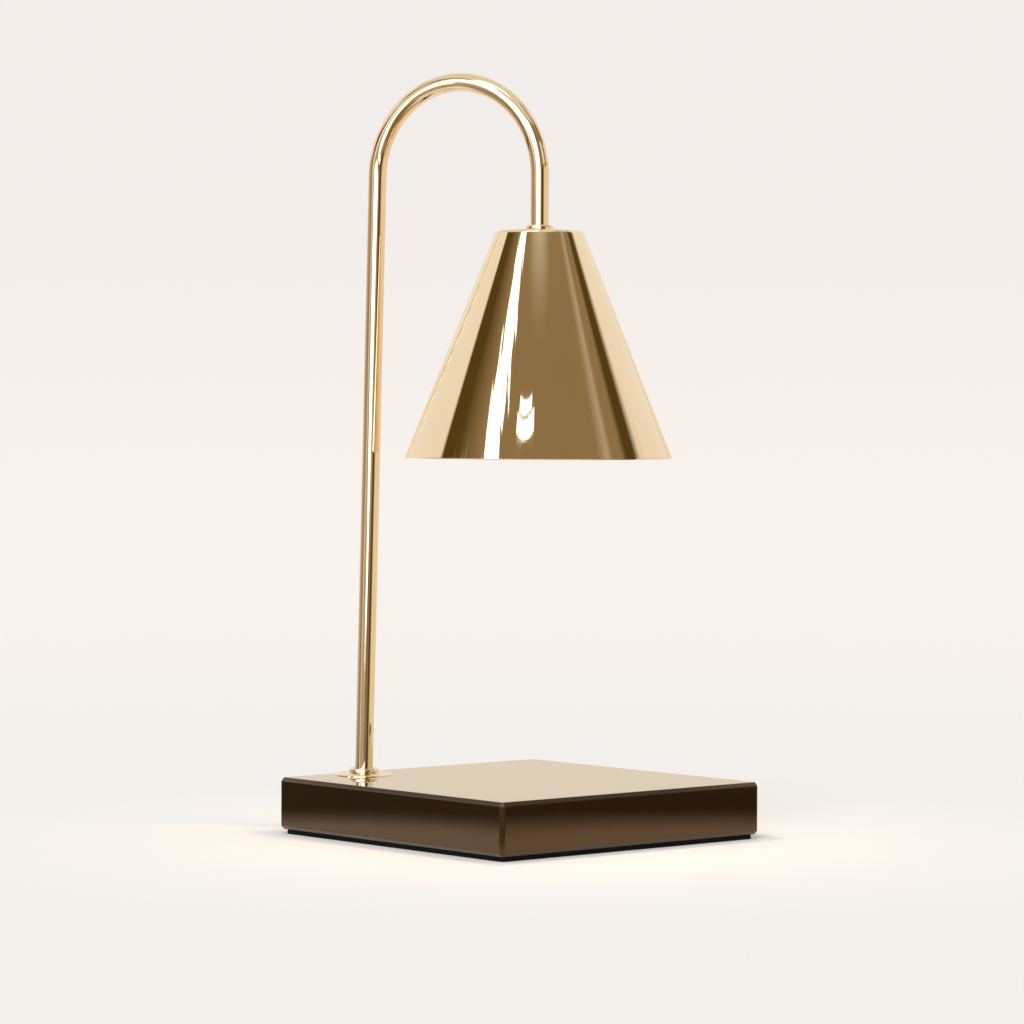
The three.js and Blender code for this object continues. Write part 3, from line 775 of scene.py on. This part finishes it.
def glass_block(material):
    low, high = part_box("base_block")
    size = high - low
    middle = (low + high) / 2
    bm = bmesh.new()
    bmesh.ops.create_cube(bm, size=1.0, matrix=Matrix.Translation(middle) @ Matrix.Diagonal((*size, 1.0)))
    bmesh.ops.bevel(bm, geom=bm.edges[:], offset=mm(BLOCK_CHAMFER), segments=1, affect="EDGES")
    bmesh.ops.bevel(
        bm, geom=bm.edges[:], offset=mm(ARRIS_ROUND), segments=ARRIS_STEPS, profile=0.5, affect="EDGES"
    )
    mesh = bpy.data.meshes.new("glass_block")
    bm.to_mesh(mesh)
    bm.free()
    block = loose("glass_block", mesh)
    foot = centre_of("friction_washer")
    washer_low, washer_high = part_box("friction_washer")
    pocket_radius = (washer_high.x - washer_low.x) / 2 / MM + POCKET_CLEARANCE
    bottom, top = heights(low, high)
    roof = washer_high.z / MM
    below = bottom - CUT_OVERRUN
    hole = revolved("hole", solid_rod(THREAD_RADIUS + FIT_GAP, below, top + CUT_OVERRUN), foot)
    pocket = revolved("pocket", solid_rod(pocket_radius, below, roof), foot)
    carved(block, loose("hole", hole), loose("pocket", pocket), loose("groove", groove_cutter(low, foot)))
    return dressed(block, material, "base", "smoked_glass", "base_block")


def solid_rod(radius, bottom, top):
    return [(0, bottom), (radius, bottom), (radius, top), (0, top)]


def groove_cutter(low, foot):
    half_width, depth, overrun = mm(GROOVE_WIDTH / 2, GROOVE_DEPTH, CUT_OVERRUN)
    bottom = low.z - overrun
    top = low.z + depth
    loops = []
    for x in (low.x - overrun, foot.x):
        loops.append([
            (x, foot.y - half_width, bottom),
            (x, foot.y + half_width, bottom),
            (x, foot.y + half_width, top),
            (x, foot.y - half_width, top),
        ])
    return skinned("groove", loops)


def foam_pad(material):
    low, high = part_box("base_pad")
    side = (high.x - low.x) / MM
    bottom, top = heights(low, high)
    edge = arc(0, bottom + PAD_EDGE_ROUND, PAD_EDGE_ROUND, -90, 0)
    edge += arc(0, top - PAD_EDGE_ROUND, PAD_EDGE_ROUND, 0, 90)
    loops = []
    for across, height in edge:
        inset = PAD_EDGE_ROUND - across
        loops.append(rounded_square(side - 2 * inset, PAD_CORNER_RADIUS - inset, height))
    mesh = skinned("foam_pad", loops)
    return fitted("foam_pad", mesh, material, "base", "pad_rubber", "base_pad")


def gold_flange(material):
    low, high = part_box("foot_flange")
    bottom, top = heights(low, high)
    hole = THREAD_RADIUS + FIT_GAP
    round_centre = top - FLANGE_EDGE_ROUND
    edge_rise = bottom + FLANGE_EDGE_THICKNESS - round_centre
    shoulder = FLANGE_RADIUS - math.sqrt(FLANGE_EDGE_ROUND**2 - edge_rise**2)
    edge_degrees = math.degrees(math.asin(edge_rise / FLANGE_EDGE_ROUND))
    profile = [(hole, bottom), (FLANGE_RADIUS, bottom)]
    profile += arc(shoulder, round_centre, FLANGE_EDGE_ROUND, edge_degrees, 90)
    profile += [(hole, top)]
    mesh = revolved("gold_flange", profile, centre_of("foot_flange"))
    return fitted("gold_flange", mesh, material, "base", "polished_gold", "foot_flange")


# Arm


def gold_collar(name, node, radius, height, axis, material):
    """A collar with a seat for the tube, over the threaded spigot that the lead runs through."""
    low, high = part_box(node)
    bottom, top = heights(low, high)
    bore = TUBE_RADIUS - TUBE_WALL
    seat = TUBE_RADIUS + FIT_GAP
    seat_floor = top - TUBE_SEAT_DEPTH - FIT_GAP
    profile = [(bore, bottom), (THREAD_RADIUS, bottom), (THREAD_RADIUS, top - height)]
    foot_round = COLLAR_FOOT_ROUND
    profile += arc(radius - foot_round, top - height + foot_round, foot_round, -90, 0)
    profile += arc(radius - COLLAR_ROUND, top - COLLAR_ROUND, COLLAR_ROUND, 0, 90)
    profile += [(seat, top), (seat, seat_floor), (bore, seat_floor)]
    mesh = revolved(name, profile, axis)
    return fitted(name, mesh, material, "arm", "polished_gold", node)


def tube_stations(foot, head):
    """Places and headings along the tube's middle, from its foot up the leaning post, round and down."""
    lean = math.radians(POST_LEAN_DEGREES)
    across = Vector((head.x - foot.x, head.y - foot.y, 0))
    outwards = across.normalized()
    upright = Vector((0, 0, 1))
    bend = mm(BEND_RADIUS)
    foot_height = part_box("foot_fitting")[1].z - mm(TUBE_SEAT_DEPTH)
    stub_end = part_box("top_fitting")[1].z - mm(TUBE_SEAT_DEPTH)
    bend_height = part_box("top_fitting")[1].z + mm(STUB_LENGTH)
    bend_reach = across.length - bend
    origin = Vector((foot.x, foot.y, 0))
    stations = [(origin + upright * foot_height, outwards * math.sin(lean) + upright * math.cos(lean))]
    for i in range(BEND_STEPS + 1):
        angle = (math.pi - lean) * (1 - i / BEND_STEPS)
        out = bend_reach + bend * math.cos(angle)
        up = bend_height + bend * math.sin(angle)
        heading = outwards * math.sin(angle) - upright * math.cos(angle)
        stations.append((origin + outwards * out + upright * up, heading))
    stations.append((origin + outwards * across.length + upright * stub_end, -upright))
    return stations, outwards.cross(upright)


def gold_tube(material, foot, head):
    stations, sideways = tube_stations(foot, head)
    bore = mm(TUBE_RADIUS - TUBE_WALL)
    outer = mm(TUBE_RADIUS)
    rounded = mm(TUBE_END_ROUND)
    first_place, first_heading = stations[0]
    last_place, last_heading = stations[-1]
    rows = [(first_place, first_heading, outer - rounded)]
    rows.append((first_place + first_heading * rounded, first_heading, outer))
    rows += [(place, heading, outer) for place, heading in stations[1:-1]]
    rows.append((last_place - last_heading * rounded, last_heading, outer))
    rows.append((last_place, last_heading, outer - rounded))
    rows += [(place, heading, bore) for place, heading in reversed(stations)]
    loops = [circle_about(place, heading, sideways, radius) for place, heading, radius in rows]
    mesh = skinned("gold_tube", loops, closed=True)
    return fitted("gold_tube", mesh, material, "arm", "polished_gold", "arm_tube")


def circle_about(place, heading, sideways, radius, steps=TUBE_STEPS):
    other = sideways.cross(heading)
    points = []
    for k in range(steps):
        angle = 2 * math.pi * k / steps
        points.append(place + (sideways * math.cos(angle) + other * math.sin(angle)) * radius)
    return points


def gold_shade(material):
    low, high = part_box("shade")
    rim, top = heights(low, high)
    rise = math.atan2(SHADE_RIM_RADIUS - SHADE_TOP_RADIUS, top - rim)
    side_degrees = math.degrees(rise)
    tangent = SHOULDER_RADIUS * (1 - math.sin(rise)) / math.cos(rise)
    shoulder = SHADE_TOP_RADIUS - tangent
    shoulder_height = top - SHOULDER_RADIUS
    wall = SHADE_WALL / math.cos(rise)
    inner_rim = SHADE_RIM_RADIUS - wall
    hole = THREAD_RADIUS + FIT_GAP
    profile = [(inner_rim, rim + SHADE_RIM_ROUND), (inner_rim + SHADE_RIM_ROUND, rim)]
    profile += [(SHADE_RIM_RADIUS - SHADE_RIM_ROUND, rim)]
    profile += [(SHADE_RIM_RADIUS - SHADE_RIM_ROUND * math.tan(rise), rim + SHADE_RIM_ROUND)]
    profile += arc(shoulder, shoulder_height, SHOULDER_RADIUS, side_degrees, 90)
    profile += [(hole, top), (hole, top - SHADE_WALL)]
    profile += arc(shoulder, shoulder_height, SHOULDER_RADIUS - SHADE_WALL, 90, side_degrees)
    mesh = revolved("gold_shade", profile, centre_of("shade"), steps=SHADE_STEPS)
    return fitted("gold_shade", mesh, material, "arm", "polished_gold", "shade")


# Bulb


def reflector_side(neck_radius, rim_radius, neck_height, rim_height):
    """A reflector opens as a parabola does: the square of its radius grows with its depth."""
    points = []
    for i in range(FACET_RINGS + 1):
        share = i / FACET_RINGS
        radius = math.sqrt(neck_radius**2 + (rim_radius**2 - neck_radius**2) * share)
        points.append((radius, neck_height + (rim_height - neck_height) * share))
    return points


def faceted_reflector(material, axis):
    """The outside is smooth, and the inside is a ring pattern of small flat mirrors."""
    low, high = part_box("bulb_reflector")
    rim, neck_top = heights(low, high)
    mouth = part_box("bulb_base")[0].z / MM
    bore = CAPSULE_RADIUS + FIT_GAP
    inside = reflector_side(bore, REFLECTOR_RIM_RADIUS - REFLECTOR_WALL, mouth, rim)
    outside = reflector_side(REFLECTOR_NECK_RADIUS, REFLECTOR_RIM_RADIUS, mouth, rim)
    profile = [(bore, neck_top), *inside, *reversed(outside), (REFLECTOR_NECK_RADIUS, neck_top)]
    mesh = revolved("faceted_reflector", profile, axis, FACET_STEPS, FACET_SMOOTH_DEGREES)
    return fitted("faceted_reflector", mesh, material, "bulb", "reflector_mirror", "bulb_reflector")


def quartz_capsule(material, axis):
    low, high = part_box("bulb_capsule")
    bottom, top = heights(low, high)
    dome_centre = bottom + CAPSULE_RADIUS
    inner = CAPSULE_RADIUS - CAPSULE_WALL
    profile = arc(0, dome_centre, CAPSULE_RADIUS, -90, 0)
    # The dome's outer and inner tips lie exactly on the axis.
    profile[0] = (0, profile[0][1])
    profile += [(CAPSULE_RADIUS, top), (inner, top)]
    profile += arc(0, dome_centre, inner, 0, -90)
    profile[-1] = (0, profile[-1][1])
    mesh = revolved("quartz_capsule", profile, axis, steps=TUBE_STEPS)
    return fitted("quartz_capsule", mesh, material, "bulb", "capsule_glass", "bulb_capsule")


def filament(material, axis):
    """A coiled wire that hangs in the middle of the capsule."""
    middle = centre_of("bulb_capsule").z
    length, coil, wire = mm(FILAMENT_LENGTH, FILAMENT_COIL_RADIUS, FILAMENT_WIRE_RADIUS)
    turn_steps = ARC_STEPS * 2
    count = FILAMENT_TURNS * turn_steps
    loops = []
    for i in range(count + 1):
        angle = 2 * math.pi * i / turn_steps
        place = Vector((
            axis.x + coil * math.cos(angle),
            axis.y + coil * math.sin(angle),
            middle + length * (i / count - 1 / 2),
        ))
        outwards = Vector((math.cos(angle), math.sin(angle), 0))
        climb = length / FILAMENT_TURNS / (2 * math.pi)
        heading = Vector((-coil * math.sin(angle), coil * math.cos(angle), climb)).normalized()
        loops.append(circle_about(place, heading, outwards, wire, steps=ARC_STEPS))
    mesh = skinned("filament", loops)
    return fitted("filament", mesh, material, "bulb", "capsule_glass")


def cover_glass(material, axis):
    low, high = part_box("bulb_front_glass")
    bottom, top = heights(low, high)
    edge = REFLECTOR_RIM_RADIUS - FRONT_GLASS_ROUND
    profile = [(0, bottom)]
    profile += arc(edge, bottom + FRONT_GLASS_ROUND, FRONT_GLASS_ROUND, -90, 0)
    profile += arc(edge, top - FRONT_GLASS_ROUND, FRONT_GLASS_ROUND, 0, 90)
    profile += [(0, top)]
    mesh = revolved("cover_glass", profile, axis)
    return fitted("cover_glass", mesh, material, "bulb", "lens_glass", "bulb_front_glass")


def rim_ring(material, axis):
    low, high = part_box("bulb_ring")
    bottom, top = heights(low, high)
    inside = REFLECTOR_RIM_RADIUS + FIT_GAP
    outside = inside + RING_WALL
    lip = REFLECTOR_RIM_RADIUS - RING_LIP
    rounded = RING_WALL / 2
    profile = [(lip, bottom)]
    profile += arc(outside - rounded, bottom + rounded, rounded, -90, 0)
    profile += [(outside, top), (inside, top), (inside, bottom + RING_WALL), (lip, bottom + RING_WALL)]
    mesh = revolved("rim_ring", profile, axis)
    return fitted("rim_ring", mesh, material, "bulb", "ring_aluminium", "bulb_ring")


def ceramic_base(material, axis):
    low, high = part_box("bulb_base")
    bottom, top = heights(low, high)
    neck_room = REFLECTOR_NECK_RADIUS + FIT_GAP
    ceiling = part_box("bulb_reflector")[1].z / MM + FIT_GAP
    profile = [(0, ceiling), (neck_room, ceiling), (neck_room, bottom)]
    profile += arc(BULB_BASE_RADIUS - BULB_BASE_ROUND, bottom + BULB_BASE_ROUND, BULB_BASE_ROUND, -90, 0)
    profile += [(BULB_BASE_RADIUS, top - BULB_BASE_SHOULDER), (BULB_BASE_TOP_RADIUS, top), (0, top)]
    body = loose("ceramic_base", revolved("ceramic_base", profile, axis))
    seat_floor = top - PIN_SEAT_DEPTH
    holes = []
    for name in ("bulb_pin_1", "bulb_pin_2"):
        rod = solid_rod(PIN_NECK_RADIUS + FIT_GAP, seat_floor, top + CUT_OVERRUN)
        holes.append(loose("pin_hole", revolved("pin_hole", rod, centre_of(name), steps=TUBE_STEPS)))
    carved(body, *holes)
    return dressed(body, material, "bulb", "white_ceramic", "bulb_base")


# CAD nodes that stay as they are


def smooth_group():
    """Geometry nodes that shade a node's round faces smooth and keep its real edges sharp."""
    group = bpy.data.node_groups.new("smooth_by_angle", "GeometryNodeTree")
    group.interface.new_socket("Geometry", in_out="INPUT", socket_type="NodeSocketGeometry")
    group.interface.new_socket("Geometry", in_out="OUTPUT", socket_type="NodeSocketGeometry")
    start = group.nodes.new("NodeGroupInput")
    end = group.nodes.new("NodeGroupOutput")
    weld = group.nodes.new("GeometryNodeMergeByDistance")
    faces = group.nodes.new("GeometryNodeSetShadeSmooth")
    edges = group.nodes.new("GeometryNodeSetShadeSmooth")
    angle = group.nodes.new("GeometryNodeInputMeshEdgeAngle")
    sharp = group.nodes.new("FunctionNodeCompare")
    weld.inputs["Distance"].default_value = mm(WELD_DISTANCE)
    faces.domain = "FACE"
    faces.inputs["Shade Smooth"].default_value = True
    edges.domain = "EDGE"
    edges.inputs["Shade Smooth"].default_value = False
    sharp.operation = "GREATER_THAN"
    sharp.inputs["B"].default_value = math.radians(SMOOTH_DEGREES)
    links = group.links
    links.new(start.outputs[0], weld.inputs["Geometry"])
    links.new(weld.outputs[0], faces.inputs[0])
    links.new(faces.outputs[0], edges.inputs[0])
    links.new(angle.outputs["Unsigned Angle"], sharp.inputs["A"])
    links.new(sharp.outputs[0], edges.inputs["Selection"])
    links.new(edges.outputs[0], end.inputs[0])
    return group


def dress_nodes(materials, smoothing):
    slots = {row["node"]: row["material_slot"] for row in frame["record"]["subparts"]}
    for name, node in frame["nodes"].items():
        if node.hide_render:
            continue
        for material_slot in node.material_slots:
            material_slot.material = materials[slots[name]]
        modifier = node.modifiers.new("smooth_by_angle", "NODES")
        modifier.node_group = smoothing


# Stage


def studio_colour(level, warmth):
    """Warmth takes green and blue away, as the brown of the dark room does."""
    green = max(0, 1 - DARKEST_GREEN_SHARE * warmth)
    blue = max(0, 1 - DARKEST_BLUE_SHARE * warmth)
    return (level, level * green, level * blue)


def bearing_ramp(shader, bearing, row):
    """The colours of a row, which starts and ends behind the lamp."""
    place = shader.math("ADD", shader.math("DIVIDE", bearing, FULL_TURN_DEGREES), 1 / 2)
    stops = [(at / FULL_TURN_DEGREES + 1 / 2, studio_colour(level, warmth)) for at, level, warmth in row]
    return shader.ramp(place, stops)


def in_panel(shader, bearing, height, left, right, bottom, top, softness):
    across = shader.within(bearing, left, right, softness)
    upright = shader.within(height, bottom, top, softness)
    return shader.math("MULTIPLY", across, upright)


def wandering(shader, bearing, height):
    """The bearing, shifted to and fro as the height changes."""
    drift = shader.nodes.new("ShaderNodeTexNoise")
    drift.noise_dimensions = "1D"
    drift.inputs["Scale"].default_value = PANEL_WANDERS_PER_DEGREE
    drift.inputs["Detail"].default_value = 1.0
    shader.link(height, drift.inputs["W"])
    off_middle = shader.math("SUBTRACT", drift.outputs["Fac"], NOISE_MIDDLE_SHARE)
    wander = shader.math("MULTIPLY", off_middle, PANEL_WANDER_DEGREES)
    wander = shader.math("MULTIPLY", wander, shader.step(height, *WANDER_FROM_DEGREES))
    return shader.math("ADD", bearing, wander)


def mirrored_room(shader, bearing, height):
    """The two rows, the ceiling and the far floor, and over them the panels and the window."""
    level_row = bearing_ramp(shader, bearing, LEVEL_ROW_SHARES)
    high_row = bearing_ramp(shader, bearing, HIGH_ROW_SHARES)
    room = shader.mix(shader.step(height, *HIGH_FROM_DEGREES), level_row, high_row)
    room = shader.mix(shader.step(height, *OVERHEAD_FROM_DEGREES), room, OVERHEAD_COLOUR)
    room = shader.mix(shader.step(height, *BELOW_FROM_DEGREES), room, BELOW_COLOUR)
    wavy_bearing = wandering(shader, bearing, height)
    for *panel, level, warmth in PANELS:
        lit = studio_colour(level, warmth)
        room = shader.mix(in_panel(shader, wavy_bearing, height, *panel), room, lit)
    window_height = shader.math("SUBTRACT", height, shader.math("MULTIPLY", bearing, WINDOW_SLOPE))
    for pane in WINDOW_PANES:
        room = shader.mix(in_panel(shader, bearing, window_height, *pane), room, studio_colour(*SOFTBOX))
    return room


def studio_world():
    """The camera sees a plain pale wall. Polished faces see pale walls behind and beside the lamp, and a dim
    room with softboxes in front of it. Matt faces get even light."""
    world = bpy.data.worlds.new("studio")
    world.use_nodes = True
    world.node_tree.nodes.clear()
    shader = Shader(world.node_tree)
    frontwards, rightwards, upwards = shader.turned("Generated", 90 - CAMERA_YAW_DEGREES)
    bearing = shader.math("MULTIPLY", shader.math("ARCTAN2", rightwards, frontwards), math.degrees(1))
    height = shader.math("MULTIPLY", shader.math("ARCSINE", upwards), math.degrees(1))
    wall_turn = shader.step(height, *WALL_TURN_DEGREES)
    wall = shader.background(shader.ramp(wall_turn, [(0.0, WALL_FOOT_COLOUR), (1.0, WALL_COLOUR)]))
    room = shader.background(mirrored_room(shader, bearing, height))
    even = shader.background(EVEN_LIGHT_COLOUR, EVEN_LIGHT_LEVEL)
    polished = shader.math("MAXIMUM", shader.ray("Glossy"), shader.ray("Transmission"))
    unseen = shader.mixed(polished, even, room)
    output = shader.nodes.new("ShaderNodeOutputWorld")
    shader.link(shader.mixed(shader.ray("Camera"), unseen, wall), output.inputs["Surface"])
    bpy.context.scene.world = world


def disc_rim(radius, steps):
    whole_turn = arc(0, 0, radius, 0, FULL_TURN_DEGREES, steps)
    return [(*mm(across, away), 0) for across, away in whole_turn[:-1]]


def open_floor(shader, distance):
    """1 where polished faces see through the floor, past its pale disc and off its dark patch."""
    rightwards, depth, _ = shader.turned("Object", -CAMERA_YAW_DEGREES)
    off_middle = shader.math("ABSOLUTE", shader.math("SUBTRACT", depth, mm(DARK_PATCH_DEPTH)))
    beyond = shader.step(distance, *mm(*DARK_PATCH_RADIUS))
    beyond = shader.math("MAXIMUM", beyond, shader.step(off_middle, *mm(*DARK_PATCH_HALF_DEPTH)))
    return shader.math("MAXIMUM", beyond, shader.step(rightwards, *mm(*reversed(DARK_PATCH_LEFT))))


def floor_material():
    """A plain pale floor that fades into the wall. Polished faces see its near part and its dark patch."""
    material, shader = surface("floor", Roughness=0.9, Specular_IOR_Level=0.0)
    length = shader.nodes.new("ShaderNodeVectorMath")
    length.operation = "LENGTH"
    shader.link(shader.coordinates.outputs["Object"], length.inputs[0])
    distance = length.outputs["Value"]
    mirrored = shader.ray("Glossy")
    outer = shader.step(distance, *mm(*MIRRORED_FLOOR))
    dark = shader.math("MULTIPLY", mirrored, outer)
    opened = shader.math("MULTIPLY", outer, open_floor(shader, distance))
    faded = shader.blend(mirrored, shader.step(distance, *mm(*FAR_FLOOR)), opened)
    pale = shader.principled(Base_Color=shader.mix(dark, FLOOR_COLOUR, DARK_PATCH_COLOUR))
    shader.show(shader.mixed(faded, pale, shader.clear()))
    return material


def pale_floor():
    mesh = new_mesh("floor", disc_rim(FLOOR_RADIUS, FLOOR_STEPS), [list(range(FLOOR_STEPS))])
    mesh.materials.append(floor_material())
    floor = loose("floor", mesh)


def placed_light(name, kind, place, target):
    data = bpy.data.lights.new(name, kind)
    light = bpy.data.objects.new(name, data)
    light.location = mm(*place)
    light.rotation_euler = (Vector(target) - Vector(place)).to_track_quat("-Z", "Y").to_euler()
    bpy.context.scene.collection.objects.link(light)
    return light


def studio_lights():
    sun = placed_light("key", "SUN", SUN_PLACE, LAMP_MIDDLE)
    sun.data.energy = SUN_POWER
    sun.data.angle = math.radians(SUN_SPREAD_DEGREES)
    sun.data.color = EVEN_LIGHT_COLOUR
    sun.visible_glossy = False
    sun.visible_transmission = False


def bulb_glow():
    """The bulb's own light, just under its ring. It turns with the bulb."""
    front = centre_of("bulb_front_glass")
    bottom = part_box("bulb_ring")[0].z / MM - GLOW_DROP
    place = (front.x / MM, front.y / MM, bottom)
    glow = placed_light("bulb_glow", "AREA", place, (place[0], place[1], 0))
    glow.data.shape = "DISK"
    glow.data.size = mm(GLOW_SIZE)
    glow.data.energy = GLOW_POWER
    glow.data.color = GLOW_COLOUR
    glow.data.spread = math.radians(GLOW_SPREAD_DEGREES)
    glow.visible_camera = False
    glow.visible_glossy = False
    glow.visible_transmission = False
    glow.parent = frame["bodies"]["bulb"]
    glow.matrix_parent_inverse = frame["bodies"]["bulb"].matrix_world.inverted()


def studio_camera():
    data = bpy.data.cameras.new("camera")
    data.lens = CAMERA_LENS
    data.sensor_width = CAMERA_SENSOR
    camera = bpy.data.objects.new("camera", data)
    yaw = Matrix.Rotation(math.radians(CAMERA_YAW_DEGREES), 4, "Z")
    pitch = Matrix.Rotation(math.radians(90 + CAMERA_PITCH_DEGREES), 4, "X")
    roll = Matrix.Rotation(math.radians(CAMERA_ROLL_DEGREES), 4, "Z")
    camera.matrix_world = Matrix.Translation(mm(*CAMERA_PLACE)) @ yaw @ pitch @ roll
    bpy.context.scene.collection.objects.link(camera)
    bpy.context.scene.camera = camera


def make_materials():
    return {
        "polished_gold": polished_gold(
            "polished_gold", wave_depth=0.05, grain_depth=0.0012, smoothest=0.02, dullest=0.06
        ),
        "smoked_glass": smoked_glass(),
        "pad_rubber": foam_rubber(),
        "bush_rubber": satin_rubber(),
        "red_fibre": red_fibre(),
        "lead_sleeve": lead_sleeve(),
        "zinc_steel": zinc_steel(),
        "white_ceramic": white_ceramic(),
        "contact_brass": contact_brass(),
        "reflector_mirror": reflector_mirror(),
        "capsule_glass": capsule_glass(),
        "lens_glass": lens_glass(),
        "ring_aluminium": ring_aluminium(),
    }


def build_pieces(materials):
    gold = materials["polished_gold"]
    shade_gold = polished_gold(
        "shade_gold", wave_depth=0.014, grain_depth=0.0003, smoothest=0.01, dullest=0.025
    )
    foot = centre_of("friction_washer")
    head = centre_of("bulb_front_glass")
    glass_block(materials["smoked_glass"])
    foam_pad(materials["pad_rubber"])
    gold_flange(gold)
    gold_collar("foot_collar", "foot_fitting", FOOT_COLLAR_RADIUS, FOOT_COLLAR_HEIGHT, foot, gold)
    gold_collar("top_collar", "top_fitting", TOP_COLLAR_RADIUS, TOP_COLLAR_HEIGHT, head, gold)
    gold_tube(gold, foot, head)
    gold_shade(shade_gold)
    faceted_reflector(materials["reflector_mirror"], head)
    quartz_capsule(materials["capsule_glass"], head)
    filament(filament_glow(), head)
    cover_glass(materials["lens_glass"], head)
    rim_ring(materials["ring_aluminium"], head)
    ceramic_base(materials["white_ceramic"], head)


def corners(bounds):
    return [list(corner) for corner in bounds]


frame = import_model()
bpy.context.scene.view_settings.view_transform = "Standard"
studio_camera()
studio_world()
pale_floor()
studio_lights()
bulb_glow()
made = make_materials()
build_pieces(made)
dress_nodes(made, smooth_group())
